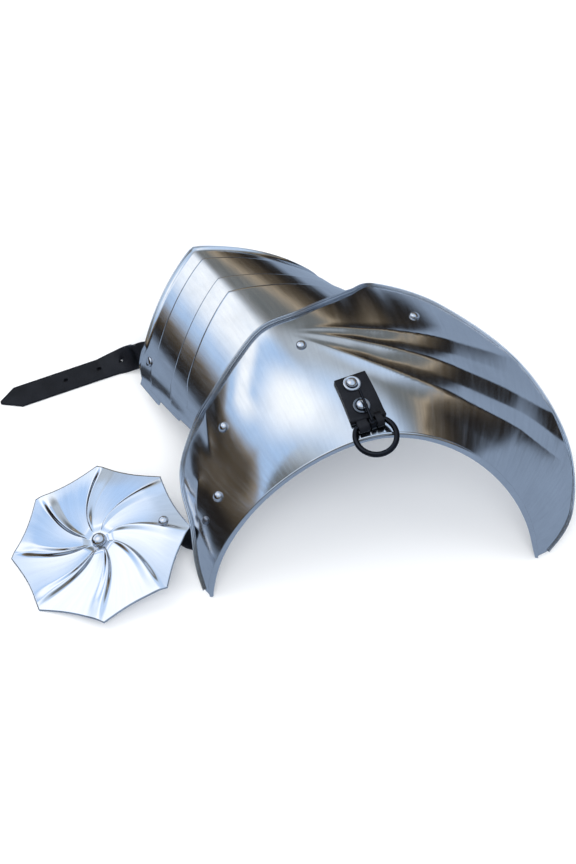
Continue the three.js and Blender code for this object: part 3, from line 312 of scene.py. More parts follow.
def attribute_map(obj, outer, inner):
    """Stores the distance round and along the sheet at each vertex, for the brushing."""
    rows, cols = outer.shape[:2]
    step_r = np.linalg.norm(np.diff(outer, axis=0), axis=-1).mean(1)
    step_c = np.linalg.norm(np.diff(outer, axis=1), axis=-1).mean(0)
    u = np.concatenate([[0], np.cumsum(step_r)]) * MM
    v = np.concatenate([[0], np.cumsum(step_c)]) * MM
    U, V = np.meshgrid(u, v, indexing="ij")
    known = to_frame(np.concatenate([outer.reshape(-1, 3), inner.reshape(-1, 3)]))
    value = np.concatenate([np.stack([U, V, 0 * U], -1).reshape(-1, 3)] * 2)
    tree = KDTree(len(known))
    for i, p in enumerate(known):
        tree.insert(p, i)
    tree.balance()
    attr = obj.data.attributes.new("brush", "FLOAT_VECTOR", "POINT")
    flat = np.array([value[tree.find(v.co)[1]] for v in obj.data.vertices], dtype=np.float32)
    attr.data.foreach_set("vector", flat.reshape(-1))


def grid_normals(grid):
    return unit(np.cross(np.gradient(grid, axis=0), np.gradient(grid, axis=1)))


def edge_frame(edge, inner, normal):
    """The direction out of a sheet at its edge, square to the edge and to the normal."""
    out = unit(np.cross(np.gradient(edge, axis=0), normal))
    return out * np.sign(dot(out, edge - inner))[:, None]


def bead(edge, inner, normal, radius, turn, steps=10):
    """Rows past an edge that roll up and over it. The radius may change along the edge."""
    out = edge_frame(edge, inner, normal)
    radius = np.broadcast_to(radius, len(edge))[:, None]
    return [edge + out * radius * math.sin(a) + normal * radius * (1 - math.cos(a))
            for a in np.linspace(0, rad(turn), steps + 1)[1:]]


def thickened(grid, thickness, away):
    """The other side of a sheet. away points outwards at the middle of the grid."""
    normals = grid_normals(grid)
    i, j = grid.shape[0] // 2, grid.shape[1] // 2
    sign = 1 if dot(normals[i, j], away) > 0 else -1
    return grid - sign * normals * thickness


# Main plate

NECK_BEAD, OUTER_BEAD, OUTER_BEAD_ENDS, BEAD_TURN = 1.35, 0.55, 0.3, 185
FRONT_STEPS, BACK_STEPS, ACROSS_STEPS = 150, 271, 93
NECK_EDGE, OUTER_EDGE, END_EDGE = 0.002, 0.998, 0.005  # where the edges' normals are read
place = np.concatenate([np.linspace(0, 0.5, FRONT_STEPS, endpoint=False), np.linspace(0.5, 1, BACK_STEPS)])
across = np.linspace(0, 1, ACROSS_STEPS)
P, A = np.meshgrid(place, across, indexing="ij")
grid = plate_point(P, A)
inside = np.clip(place, END_EDGE, 1 - END_EDGE)
# the beads die away towards both tips, and the outer one is full over the arm alone
fade = 0.15 + 0.85 * smooth(place, 0.0, 0.05) * (1 - smooth(place, 0.95, 1.0))
neck = bead(grid[:, 0], grid[:, 1], plate_normal(inside, NECK_EDGE), NECK_BEAD * fade, BEAD_TURN)
over_arm = smooth(place, 0.24, 0.32) * (1 - smooth(place, 0.6, 0.7))
outer = bead(grid[:, -1], grid[:, -2], plate_normal(inside, OUTER_EDGE),
             (OUTER_BEAD_ENDS + OUTER_BEAD * over_arm) * fade, BEAD_TURN)
plate_grid = np.stack(neck[::-1] + [grid[:, j] for j in range(grid.shape[1])] + outer, 1)
plate_inner = thickened(plate_grid, STEEL, plate_grid[210, 50] - PLATE_CORE)
plate = shell("plate_shell", plate_grid, plate_inner, "plates", "plate")
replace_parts(plate, "main_plate")

# Lames

def front_end(row, along):
    return row[3] - LAME_SWEEP * (END_REACH - along)


def lame_edge(row, turn):
    """How far along the arm a lame's free edge is at a turn."""
    peak = ridge_turn(row[1] * END_REACH + LAME_POINT)
    near = np.maximum(0, 1 - np.abs(turn - peak) / POINT_SPREAD)
    slant = -row[2] * ARM_RADIUS * np.cos(rad(turn))
    corner = np.clip(1 - (front_end(row, row[1] * END_REACH) - turn) / CORNER_SPREAD, 0, 1)
    return row[1] * END_REACH + LAME_POINT * near**POINT_SHARPNESS + slant - CORNER_DEPTH * corner**2


OVER_ARM = slice(4, 13)  # the sections whose outer end lies over the arm


def outer_along(turn):
    middle = SECTIONS[OVER_ARM]
    return np.interp(-turn, -middle[:, 1], middle[:, 3]) * PLATE_REACH


LAME_HALF, LAME_ROWS = 90, 26
FLANGE_TURN, FLANGE_BEND, FLANGE_STEPS, FLANGE_END = 68, 3.4, 8, 0.08
EDGE_DROP, EDGE_ROUND = 0.5, 0.7


def lame_surface(index):
    """A lame's outer side from its free edge, with the flange or the rounded lip, to under the next."""
    row = LAMES[index]
    f = np.concatenate([-np.linspace(1, 0, LAME_HALF, endpoint=False), np.linspace(0, 1, LAME_HALF)])

    def turn_at(along):
        ridge = ridge_turn(along)
        end = np.where(f < 0, front_end(row, along), row[4])
        return ridge + (end - ridge) * np.abs(f)

    def at(along, sink=0.0):
        turn = turn_at(along)
        return arm_point(turn, arm_radius(along, index) + ridge_bump(turn, along) - sink, along)

    free_turn = turn_at(np.full_like(f, row[1] * END_REACH + LAME_POINT))
    free = lame_edge(row, free_turn)
    if index < len(LAMES) - 1:
        cover = lame_edge(LAMES[index + 1], free_turn) - LAME_LAP
    else:
        cover = outer_along(free_turn) - PLATE_LAP
    lines = [at(free + (cover - free) * t) for t in np.linspace(0, 1, LAME_ROWS)]
    if index == 0:
        two = np.stack(lines[:2], 1)
        normal = grid_normals(np.stack(lines[:3], 1))[:, 0]
        normal *= np.sign(dot(normal, two[:, 0] - np.array([ARM_OFFSET, 0, 0])))[:, None]
        ends = np.minimum(front_end(row, free) - free_turn, free_turn - row[4])
        fade = FLANGE_END + (1 - FLANGE_END) * smooth(ends, 0, 2 * CORNER_SPREAD)
        flange = bead(two[:, 0], two[:, 1], normal, FLANGE_BEND * fade, FLANGE_TURN, FLANGE_STEPS)
        lines = flange[::-1] + lines
    else:
        lines = [at(free, EDGE_DROP), at(free - EDGE_ROUND * 0.35, EDGE_DROP * 0.3),
                 at(free - EDGE_ROUND)] + lines[1:]
    return np.stack(lines, 1)


for index, row in enumerate(LAMES):
    grid = lame_surface(index)
    mid = grid[LAME_HALF, LAME_ROWS // 2]
    inner = thickened(grid, STEEL, mid - np.array([ARM_OFFSET, mid[1], 0.0]))
    obj = shell(row[0] + "_shell", grid, inner, "plates", "plate")
    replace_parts(obj, row[0])

# Round pieces, turned about the normal of a seat

RIVET_HEAD, RIVET_DOME, RIVET_SHANK, RIVET_TAIL, RIVET_TAIL_DEPTH = 3.6, 2.4, 1.6, 2.8, 0.9
LEATHER, LINING_GAP = 2.0, 1.4
ROUND = 40


def seat_axes(normal):
    other = np.array([0.0, 0, 1]) if abs(normal[2]) < 0.9 else np.array([1.0, 0, 0])
    x = unit(np.cross(other, normal))
    return x, np.cross(normal, x)


def lathe(name, profiles, at, normal, body, slot):
    """One or more closed profiles of (radius, height) turned about the seat's normal."""
    x, y = seat_axes(normal)
    points, faces = [], []
    for profile in profiles:
        base = len(points)
        k = len(profile)
        for i in range(ROUND):
            a = 2 * math.pi * i / ROUND
            for r, h in profile:
                points.append(at + x * r * math.cos(a) + y * r * math.sin(a) + normal * h)
        for i in range(ROUND):
            for j in range(k):
                if profile[j][0] == profile[(j + 1) % k][0] == 0:
                    continue
                a, b = base + i * k + j, base + i * k + (j + 1) % k
                c, d = base + (i + 1) % ROUND * k + (j + 1) % k, base + (i + 1) % ROUND * k + j
                faces.append([a, b, c, d])
    return new_object(name, np.array(points), faces, body, slot)


def dome(radius, height, low, lip=0.35, steps=9):
    """A rivet head: a short upright lip, then a dome, from the outside to the middle."""
    arc = [(radius * math.cos(a), low + lip + (height - lip) * math.sin(a))
           for a in np.linspace(0, math.pi / 2, steps)]
    arc[-1] = (0, low + height)
    return [(radius - 0.15, low), (radius, low + 0.12)] + arc


def rivet(name, node, at, normal, head, height, depth, slot="rivet"):
    back = depth + FIT
    tail = [(0, -back - RIVET_TAIL_DEPTH), (RIVET_TAIL - 0.3, -back - RIVET_TAIL_DEPTH),
            (RIVET_TAIL, -back - RIVET_TAIL_DEPTH + 0.3), (RIVET_TAIL, -back), (RIVET_SHANK, -back)]
    profile = tail + [(RIVET_SHANK, FIT * 0.4)] + dome(head, height + FIT * 0.6, FIT * 0.4)
    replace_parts(lathe(name, [profile], at, normal, "plates", slot), node)


def plate_seat(place, across):
    return plate_point(place, across), plate_normal(place, across)


STACK = STEEL + LINING_GAP + LEATHER
# place, across, whether an inner leather hangs on it
PLATE_RIVETS = [(0.516, 0.737, True), (0.732, 0.749, True), (0.337, 0.685, True), (0.25, 0.325, False)]
for k, (place, across, lined) in enumerate(PLATE_RIVETS, 1):
    at, normal = plate_seat(place, across)
    depth = STACK if lined else STEEL
    rivet(f"rivet_{k}", f"plate_rivet_{k}", at, normal, RIVET_HEAD, RIVET_DOME, depth)
WING_AT, WING_NORMAL = plate_seat(0.18, 0.391)
rivet("wing_rivet", "disc_strap_rivet", WING_AT, WING_NORMAL,
      RIVET_HEAD * 0.8, RIVET_DOME * 0.7, STACK, "buckle")

# Straps: a rounded section swept along stations

def smooth_curve(points, count):
    """The curve that the CAD model draws through the same points."""
    p = np.asarray(points, float)
    last = len(p) - 1
    p = np.concatenate([[2 * p[0] - p[1]], p, [2 * p[-1] - p[-2]]])
    out = []
    for t in np.linspace(0, last, count):
        i = min(int(t), last - 1)
        w = t - i
        x0, x1, x2, x3 = p[i:i + 4]
        d0, d1, d2 = [max(np.linalg.norm(b - a)**0.5, 1e-3) for a, b in ((x0, x1), (x1, x2), (x2, x3))]
        t1 = ((x1 - x0) / d0 - (x2 - x0) / (d0 + d1) + (x2 - x1) / d1) * d1
        t2 = ((x2 - x1) / d1 - (x3 - x1) / (d1 + d2) + (x3 - x2) / d2) * d1
        out.append(x1 + t1 * w + (3 * (x2 - x1) - 2 * t1 - t2) * w**2 + (2 * (x1 - x2) + t1 + t2) * w**3)
    return np.array(out)


def section(rounding, flat=5, arc=4):
    """A rectangle from -1 to 1 with rounded corners, as offsets (side, up, corner x, corner y)."""
    pts = []
    corners = [(1, 1, 0), (-1, 1, 90), (-1, -1, 180), (1, -1, 270)]
    for cx, cy, start in corners:
        for k in range(arc + 1):
            a = rad(start + 90 * k / arc)
            pts.append((cx, cy, (math.cos(a) - cx) * rounding, (math.sin(a) - cy) * rounding))
        if start in (0, 180):
            for k in range(1, flat):
                pts.append((cx - 2 * cx * k / flat, cy, 0, 0))
    return pts


def strap(name, node, at, side, half, thick, body="plates", rounding=0.55, slot="leather"):
    at, side = np.asarray(at), np.asarray(side)
    n = len(at)
    half = np.broadcast_to(half, n)
    thick = np.broadcast_to(thick, n)
    onward = unit(np.gradient(at, axis=0))
    side = unit(side - onward * dot(side, onward)[:, None])
    up = np.cross(side, onward)
    ring = section(min(rounding, thick.min() / 2 - 0.05))
    grid = np.stack([at + side * (half * sx + ex)[:, None] + up * (thick / 2 * sy + ey)[:, None]
                     for sx, sy, ex, ey in ring], 1)
    k = len(ring)
    faces = []
    for i in range(n - 1):
        for j in range(k):
            a, b = i * k + j, i * k + (j + 1) % k
            faces.append([a, b, b + k, a + k])
    faces += [list(range(k)), list(range((n - 1) * k, n * k))]
    obj = new_object(name, grid.reshape(-1, 3), faces, body, slot)
    if node:
        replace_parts(obj, node)
    return obj


def inside_cone(turn, along, half):
    spread = math.degrees(half / ARM_RADIUS)
    bump = min(ridge_bump(turn - spread, along), ridge_bump(turn + spread, along))
    depth = STEEL + 2 * FIT + half * half / (2 * ARM_RADIUS) + LEATHER / 2
    return arm_point(turn, arm_radius(along, 0) + bump - depth, along)


INNER_WIDTH, INNER_STEPS = 15, 60
for k in range(3):
    at, normal = plate_seat(*PLATE_RIVETS[k][:2])
    begin = at - normal * (STEEL + LINING_GAP + LEATHER / 2)
    turn = math.degrees(math.atan2(begin[2] - (ARM_HEIGHT - begin[1] * ARM_DROOP),
                                   begin[0] - (ARM_OFFSET + begin[1] * math.sin(rad(ARM_YAW)))))
    half = INNER_WIDTH / 2
    lap = outer_along(turn) - PLATE_LAP
    end = lame_edge(LAMES[0], turn) - 2 * END_RIM
    onward = inside_cone(turn, lap, half) - begin
    onward = unit(onward - normal * onward.dot(normal)) * RIVET_HEAD * 2
    side = np.array([-math.sin(rad(turn)), 0, math.cos(rad(turn))])
    seat_side = unit(np.cross(onward, normal))
    seat_side = seat_side * np.sign(seat_side.dot(side))
    rows = [begin - onward, begin, begin + onward * 0.5]
    rows += [inside_cone(turn, a, half) for a in (lap, (lap + end) / 2, end)]
    sides = [seat_side] * 3 + [side] * 3
    strap(f"lining_{k + 1}", f"inner_leather_{k + 1}", smooth_curve(rows, INNER_STEPS),
          smooth_curve(sides, INNER_STEPS), half, LEATHER, slot="inner_leather")

# Arm strap

STRAP_WIDTH, STRAP_POINT, STRAP_TIP_WIDTH, STRAP_RIVET_TURN, STRAP_RIVET_INSET = 18.5, 9, 2.2, 152, 8
STRAP_HOLE, STRAP_TAPER, STRAP_SPARE, FIRST_HOLE, HOLES = 1.5, 4, 0.04, 16, (0.02, 0.4)
HOLE_SHADE_FLOOR, HOLE_DEPTH = 0.3, 8  # leather left under a hole as painted shade, where a through hole would show the pale floor; length of the tool
DROP_STEPS, FLAT_STEPS, TAPER_STEPS = 70, 34, 7
# front, out, height, side
STRAP_DROP = [(0.6, 12.9, 19.5, (-0.1, 0.35, 0.93)), (0.6, 21.9, 10, (0.1, 0.75, 0.66)),
              (8.6, 29.4, 3, (0.18, 0.95, 0.22))]
STRAP_LIE, STRAP_TIP = (20.6, 32.5), (95.6, 47.4)

half = STRAP_WIDTH / 2
free = float(lame_edge(LAMES[0], STRAP_RIVET_TURN))


def wall(turn, along):
    return arm_point(turn, arm_radius(along, 0) + ridge_bump(turn, along), along)


along = free - STRAP_RIVET_INSET
seat = wall(STRAP_RIVET_TURN, along)
round_arm = unit(wall(STRAP_RIVET_TURN + 1, along) - seat)
seat_normal = unit(np.cross(wall(STRAP_RIVET_TURN, along + 1) - seat, round_arm))
seat_normal = seat_normal * -np.sign(seat_normal[0])
inner = [inside_cone(STRAP_RIVET_TURN, free - inset * STRAP_RIVET_INSET, half) for inset in (2.4, 1, 0)]
edge = inner[2]
lie, tip = [np.array([edge[0] - f, edge[1] + o, LEATHER / 2]) for f, o in (STRAP_LIE, STRAP_TIP)]
onward = unit(tip - lie)
flat_side = np.array([-onward[1], onward[0], 0])
flat_side = flat_side * np.sign(flat_side[1])
shoulder = tip - onward * STRAP_POINT
rows = inner + [np.array([edge[0] - f, edge[1] + o, z]) for f, o, z, _ in STRAP_DROP] + [lie]
sides = [-round_arm] * 3 + [np.array(s) for *_, s in STRAP_DROP] + [flat_side]
path, turned = smooth_curve(rows, DROP_STEPS), smooth_curve(sides, DROP_STEPS)
path[:, 2] = np.maximum(path[:, 2], LEATHER / 2)
length = np.linalg.norm(shoulder - lie)
flat = [lie + onward * d for d in np.linspace(2, length - STRAP_TAPER, FLAT_STEPS)]
taper = np.linspace(0, 1, TAPER_STEPS + 1)[1:]
ends = [shoulder + onward * (t * (STRAP_POINT + STRAP_TAPER) - STRAP_TAPER) for t in taper]
widths = np.concatenate([[half] * (DROP_STEPS + FLAT_STEPS), half + (STRAP_TIP_WIDTH / 2 - half) * taper])
strap_sides = np.concatenate([turned, [flat_side] * (FLAT_STEPS + TAPER_STEPS)])
arm_strap = strap("arm_strap_leather", "arm_strap", np.concatenate([path, flat, ends]), strap_sides,
                  widths, LEATHER - STRAP_SPARE)


def punch(obj, holes, radius):
    """Cuts round holes into a piece. Each is a middle and a direction of the cutting tool."""
    bm = bmesh.new()
    for at, normal in holes:
        turn = Vector(normal).to_track_quat("Z", "Y").to_matrix().to_4x4()
        place = Matrix.Translation(Vector(to_frame(at))) @ turn
        bmesh.ops.create_cone(bm, cap_ends=True, segments=28, radius1=radius * MM, radius2=radius * MM,
                              depth=HOLE_DEPTH * MM, matrix=place)
    mesh = bpy.data.meshes.new("punch")
    bm.to_mesh(mesh)
    bm.free()
    tool = bpy.data.objects.new("punch", mesh)
    bpy.context.scene.collection.objects.link(tool)
    cut = obj.modifiers.new("holes", "BOOLEAN")
    cut.operation, cut.solver, cut.object = "DIFFERENCE", "EXACT", tool
    bpy.context.view_layer.update()
    done = bpy.data.meshes.new_from_object(obj.evaluated_get(bpy.context.evaluated_depsgraph_get()))
    obj.modifiers.clear()
    obj.data = done
    bpy.data.objects.remove(tool)


# The holes stop short of the strap's underside. Their dark leather floor is painted shade, standing in for
# the shade down a real hole
on_top = np.array([0, 0, HOLE_DEPTH / 2 - LEATHER / 2 + HOLE_SHADE_FLOOR])
hole_at = [lie + onward * share * length for share in HOLES]
first = path[np.argmin(np.linalg.norm((path - (lie - onward * FIRST_HOLE))[:, :2], axis=1))]
punch(arm_strap, [(at + on_top, (0, 0, 1)) for at in [first] + hole_at], STRAP_HOLE)
depth = (seat - inner[1]).dot(seat_normal) + LEATHER / 2
rivet("strap_rivet", "arm_strap_rivet", seat, seat_normal, RIVET_HEAD, RIVET_DOME * 0.5, depth)

# Disc

DISC_RADIUS, DISC_POINTS, DISC_DOME, DISC_DISH, DISC_SWIRL = 62, 8, 5, 1.6, 40
DISC_FLUTE, DISC_PHASE, DISC_TILT, DISC_TILT_TURN = 2.2, -32, 13.4, 172
DISC_TOUCH = (-138.5, 38.4)
DISC_HUB_HEAD, DISC_HUB_DOME, DISC_RIVET_AT, DISC_RIVET_TURN = 5.2, 3.4, 0.73, -25.8
SECTOR_STEPS, RING_STEPS, DISC_START = 48, 64, 0.035
CREST, SIDE_HOLLOW, SWELL = 0.91, 0.035, 0.5
DISC_STRAP_DROP = 2.4

lean_way = np.array([math.cos(rad(DISC_TILT_TURN)), math.sin(rad(DISC_TILT_TURN)), 0])
lean = lean_way * math.sin(rad(DISC_TILT))
DISC_NORMAL = lean + np.array([0, 0, math.cos(rad(DISC_TILT))])
DISC_TURN = np.array(Vector((0, 0, 1)).rotation_difference(Vector(DISC_NORMAL)).to_matrix())
DISC_MIDDLE = np.array([DISC_TOUCH[0] - DISC_RADIUS * math.cos(rad(DISC_PHASE)),
                        DISC_TOUCH[1] - DISC_RADIUS * math.sin(rad(DISC_PHASE)), 0])


def disc_local(turn, share, sector):
    """The disc's upper side, lying flat. share goes from the middle out, sector from point to point."""
    to_point = np.abs(sector - 0.5) * 2
    eighth = math.pi / DISC_POINTS
    side = math.cos(eighth) / np.cos(eighth * to_point) - SIDE_HOLLOW * (1 - to_point**2)
    r = share * DISC_RADIUS * side
    rise = SWELL * np.clip(sector / CREST, 0, 1)**2.2 + (1 - SWELL) * smooth(sector, CREST - 0.2, CREST)
    fall = smooth(sector, CREST, 1)
    pleat = (rise * (1 - fall)) * smooth(share, 0.1, 0.32) * (1 - 0.55 * smooth(share, 0.75, 1))
    height = DISC_DOME * (1 - share**2) - DISC_DISH * (1 - smooth(share, 0.09, 0.2))
    angle = rad(DISC_PHASE + turn + DISC_SWIRL * (1 - share)**1.5)
    return np.stack([r * np.cos(angle), r * np.sin(angle), height + DISC_FLUTE * pleat], -1)


def on_disc(points):
    return np.asarray(points) @ DISC_TURN.T + DISC_MIDDLE


K, S = np.meshgrid(np.arange(DISC_POINTS * SECTOR_STEPS), np.linspace(DISC_START, 1, RING_STEPS),
                   indexing="ij")
fraction = (K % SECTOR_STEPS) / SECTOR_STEPS
local = disc_local(K * 360 / (DISC_POINTS * SECTOR_STEPS), S, fraction)
low = local - np.array([0, 0, DISC_STEEL])
DISC_MIDDLE[2] = -on_disc(low)[..., 2].min()
disc = shell("disc_shell", on_disc(local), on_disc(low), "plates", "plate", wrap=True)
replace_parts(disc, "disc")
hub = on_disc([0, 0, DISC_DOME - DISC_DISH])
rivet("hub_rivet", "disc_hub_rivet", hub, DISC_NORMAL, DISC_HUB_HEAD, DISC_HUB_DOME, DISC_STEEL)
a, r = rad(DISC_RIVET_TURN), DISC_RIVET_AT * DISC_RADIUS
DISC_RIVET = on_disc([r * math.cos(a), r * math.sin(a), DISC_DOME * (1 - DISC_RIVET_AT**2) + DISC_FLUTE])
DISC_STACK = DISC_STEEL + DISC_FLUTE + DISC_STRAP_DROP + LEATHER
rivet("hanger_rivet", "disc_rivet", DISC_RIVET, DISC_NORMAL, RIVET_HEAD, RIVET_DOME, DISC_STACK)

HANGER_WIDTH, HANGER_STEPS = 15, 80
# middle line and side
HANGER = [((-144.5, 46, 15.8), (0.5, 0.85, 0.05)), ((-138.5, 38.5, 12), (0.5, 0.85, 0.15)),
          ((-131, 33, 17), (0.45, 0.8, 0.3)), ((-129.5, 30, 29), (0.35, 0.8, 0.45))]
rows, sides = [[], []], [[], []]
for k, (at, normal, depth, nxt) in enumerate([
        (DISC_RIVET, DISC_NORMAL, DISC_STACK - LEATHER / 2, HANGER[0]),
        (WING_AT, WING_NORMAL, STEEL + LINING_GAP + LEATHER / 2, HANGER[-1])]):
    onward = np.array(nxt[0]) - at
    onward = unit(onward - normal * onward.dot(normal)) * RIVET_HEAD * 2
    side = unit(np.cross(onward, normal))
    side = side * np.sign(side.dot(np.array(nxt[1])))
    rows[k] = [at - normal * depth + onward * sign for sign in (-1, 0, 1)]
    sides[k] = [side] * 3
rows = rows[0] + [np.array(p) for p, _ in HANGER] + rows[1][::-1]
sides = sides[0] + [np.array(s) for _, s in HANGER] + sides[1][::-1]
strap("hanger_strap", "disc_strap", smooth_curve(rows, HANGER_STEPS), smooth_curve(sides, HANGER_STEPS),
      HANGER_WIDTH / 2, LEATHER)

# Buckle tab, ring and tongue

TAB, TAB_END = np.array([0.593, 0.052]), np.array([0.574, 0.357])
TAB_WIDTH, TAB_END_WIDTH, TAB_LAYER, TAB_SLOT, TAB_RIVET_SIDE = 24, 22, 1.7, 5.4, -1.2
WASHER_RADIUS, WASHER_THICKNESS, TAB_RIVET_DOME, TAB_RIVETS = 6, 0.9, 1.8, (0.82, 0.36)
WIRE, BAR_FIT, BUCKLE_WIDTH, BUCKLE_DEPTH, BOW_DROP = 1.9, 0.3, 30.5, 25, 0.37
TONGUE, TONGUE_LENGTH, TONGUE_SIDE, TONGUE_RING, TONGUE_EYE = 1.2, 24, 1.2, 1.5, 3.6
FOLD_WIDTH, FOLD_TAPER, FOLD_SWELL, TAB_STEPS = 17.5, 0.2, 3.4, 16
FOLD_RADIUS = WIRE + BAR_FIT + TAB_LAYER
BAR_HEIGHT = 1.5 * FIT + FOLD_RADIUS

fold_at, fold_n = plate_seat(*TAB)
tab_end = plate_point(*TAB_END)
tab_v = tab_end - fold_at
tab_length = np.linalg.norm(tab_v)
tab_v = unit(tab_v - fold_n * tab_v.dot(fold_n))
tab_u = np.cross(tab_v, fold_n)
bar = fold_at + fold_n * BAR_HEIGHT


def tab_seat(share, side, height):
    place, across = TAB + (TAB_END - TAB) * share
    normal = plate_normal(place, across)
    aside = unit(tab_u - normal * tab_u.dot(normal))
    return smooth_point(place, across) + aside * side + normal * height, normal, aside


def tab_path(side, shares, level):
    """Points of one layer of the tab. level 1 is the upper layer, -1 the lower."""
    out = []
    for share in shares:
        swell = max(0, 1 - share / FOLD_TAPER) * FOLD_SWELL
        middle = FIT + TAB_LAYER + swell / 2
        out.append(tab_seat(share, side, middle + level * (TAB_LAYER / 2 + swell / 2))[0])
    return out


def fold_arc(side, steps=11):
    """The tab's middle line round the bar, from the upper layer to the lower."""
    r = WIRE + BAR_FIT + TAB_LAYER / 2
    return [bar + tab_u * side - tab_v * r * math.sin(a) + fold_n * r * math.cos(a)
            for a in np.linspace(0.15, math.pi - 0.15, steps)]


shares = np.linspace(1, 0.1, TAB_STEPS)
_, _, tab_side = tab_seat(0.5, 0, 0)
wide = np.linspace(TAB_END_WIDTH, TAB_WIDTH, TAB_STEPS) / 2
tab_pieces = [strap(name, None, tab_path(0, shares, level), [tab_side] * TAB_STEPS, wide, TAB_LAYER,
                    rounding=rounding)
              for name, level, rounding in (("tab_upper", 1, 0.6), ("tab_lower", -1, 0.5))]
left = -FOLD_WIDTH / 2
slot_low, slot_high = TONGUE_SIDE - TAB_SLOT / 2, TONGUE_SIDE + TAB_SLOT / 2
for name, lo, hi in (("tab_lobe_1", left, slot_low), ("tab_lobe_2", slot_high, -left)):
    mid = (lo + hi) / 2
    near = [0.16, 0.1]
    line = tab_path(mid, near, 1) + fold_arc(mid) + tab_path(mid, near[::-1], -1)
    tab_pieces.append(strap(name, None, line, [tab_u] * len(line), (hi - lo) / 2, TAB_LAYER))
bpy.ops.object.select_all(action="DESELECT")
for piece in tab_pieces:
    piece.select_set(True)
bpy.context.view_layer.objects.active = tab_pieces[0]
bpy.ops.object.join()
tab = tab_pieces[0]
tab.name = "tab_leather"
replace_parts(tab, "buckle_tab")

TAB_THICKNESS = 2 * TAB_LAYER
for k, share in enumerate(TAB_RIVETS, 1):
    at, normal, _ = tab_seat(share, TAB_RIVET_SIDE, 2 * FIT + TAB_THICKNESS)
    inner_r, edge_r = RIVET_SHANK + 0.1, WASHER_RADIUS
    ring = [(inner_r, -FIT * 0.7), (edge_r - 0.2, -FIT * 0.7), (edge_r, -0.05), (edge_r, 0.35),
            (edge_r - 0.35, 0.75), (edge_r - 0.8, WASHER_THICKNESS), (4.4, WASHER_THICKNESS * 0.9),
            (4.0, 0.6), (inner_r, 0.6)]
    washer = lathe(f"washer_{k}", [ring], at, normal, "plates", "rivet" if k == 1 else "buckle")
    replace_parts(washer, f"tab_washer_{k}")
    at, normal, _ = tab_seat(share, TAB_RIVET_SIDE, 2 * FIT + TAB_THICKNESS + WASHER_THICKNESS)
    depth = WASHER_THICKNESS + 2 * FIT + TAB_THICKNESS + STEEL
    rivet(f"tab_head_{k}", f"tab_rivet_{k}", at, normal, RIVET_HEAD, TAB_RIVET_DOME, depth)


def tube(name, path, radii, body, plane, closed=False, sides=20, more=None):
    """A round bar along points. more is the points and faces of another closed part of the piece."""
    path = np.asarray(path)
    n = len(path)
    if closed:
        onward = unit(np.roll(path, -1, 0) - np.roll(path, 1, 0))
    else:
        onward = unit(np.gradient(path, axis=0))
    side = unit(np.cross(plane, onward))
    up = np.cross(onward, side)
    radii = np.broadcast_to(radii, n)
    points, faces = [], []
    for i in range(n):
        for j in range(sides):
            a = 2 * math.pi * j / sides
            points.append(path[i] + radii[i] * (side[i] * math.cos(a) + up[i] * math.sin(a)))
    for i in range(n if closed else n - 1):
        for j in range(sides):
            a, b = i * sides + j, i * sides + (j + 1) % sides
            c, d = (i + 1) % n * sides + (j + 1) % sides, (i + 1) % n * sides + j
            faces.append([a, b, c, d])
    if not closed:
        faces += [list(range(sides)), list(range((n - 1) * sides, n * sides))]
    if more:
        base = len(points)
        points += list(more[0])
        faces += [[base + i for i in f] for f in more[1]]
    return new_object(name, np.array(points), faces, body, "buckle")


rim_top = NECK_RIM * math.sin(rad(RIM_TURN))
rim_away = np.linalg.norm(fold_at - neck_point(column("neck", TAB[0])))
lift = math.atan2(rim_top + WIRE + FIT - BAR_HEIGHT, rim_away)
ring_on = tab_v * math.cos(lift) - fold_n * math.sin(lift)
ring_n = unit(np.cross(tab_u, ring_on))
wide = BUCKLE_WIDTH / 2 - WIRE
drop = BOW_DROP * BUCKLE_DEPTH
deep = BUCKLE_DEPTH - WIRE - drop
start = math.asin(min(drop / deep, 0.9))
bow = [(wide * math.cos(a), deep * math.sin(a) - drop)
       for a in np.linspace(start, -math.pi - start, 73)]
straight = [(x, 0.0) for x in np.linspace(bow[-1][0], bow[0][0], 14)[1:-1]]
ring = [bar + tab_u * a + ring_on * b for a, b in bow + straight]
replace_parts(tube("buckle_ring", ring, WIRE, "ring", ring_n, closed=True, sides=22), "buckle_frame")


def eye_part(inner_r, outer_r, width, aside, steps=36):
    """Points and faces of the tongue's eye round the bar."""
    ring = [(inner_r, -width / 2), (outer_r - 0.25, -width / 2), (outer_r, -width / 2 + 0.25),
            (outer_r, width / 2 - 0.25), (outer_r - 0.25, width / 2), (inner_r, width / 2)]
    pts, faces, k = [], [], len(ring)
    for i in range(steps):
        a = 2 * math.pi * i / steps
        for r, w in ring:
            pts.append(bar + tab_u * (aside + w) + (tab_v * math.cos(a) + fold_n * math.sin(a)) * r)
        for j in range(k):
            faces.append([i * k + j, i * k + (j + 1) % k, (i + 1) % steps * k + (j + 1) % k,
                          (i + 1) % steps * k + j])
    return pts, faces


TONGUE_STEPS, TONGUE_TAPER = 22, 0.32
rivet_top = FIT + TAB_THICKNESS + FIT + WASHER_THICKNESS + FIT + TAB_RIVET_DOME
root = WIRE + BAR_FIT + TONGUE
rise = rivet_top + FIT + TONGUE - BAR_HEIGHT
slope = max(rise - root, 0) / (TAB_RIVETS[1] * tab_length - RIVET_HEAD)
tongue_t = np.concatenate([np.linspace(0, 0.96, TONGUE_STEPS), [0.985, 1]])
tongue_path = [fold_at + tab_u * TONGUE_SIDE + tab_v * t * TONGUE_LENGTH
               + fold_n * (BAR_HEIGHT + root + slope * t * TONGUE_LENGTH) for t in tongue_t]
tongue_r = TONGUE * np.concatenate([1 - TONGUE_TAPER * np.linspace(0, 1, TONGUE_STEPS), [0.5, 0.2]])
tongue = tube("buckle_pin", tongue_path, tongue_r, "tongue", tab_u,
              more=eye_part(WIRE + BAR_FIT, WIRE + BAR_FIT + TONGUE_RING, TONGUE_EYE, TONGUE_SIDE))
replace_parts(tongue, "buckle_tongue")

# Materials

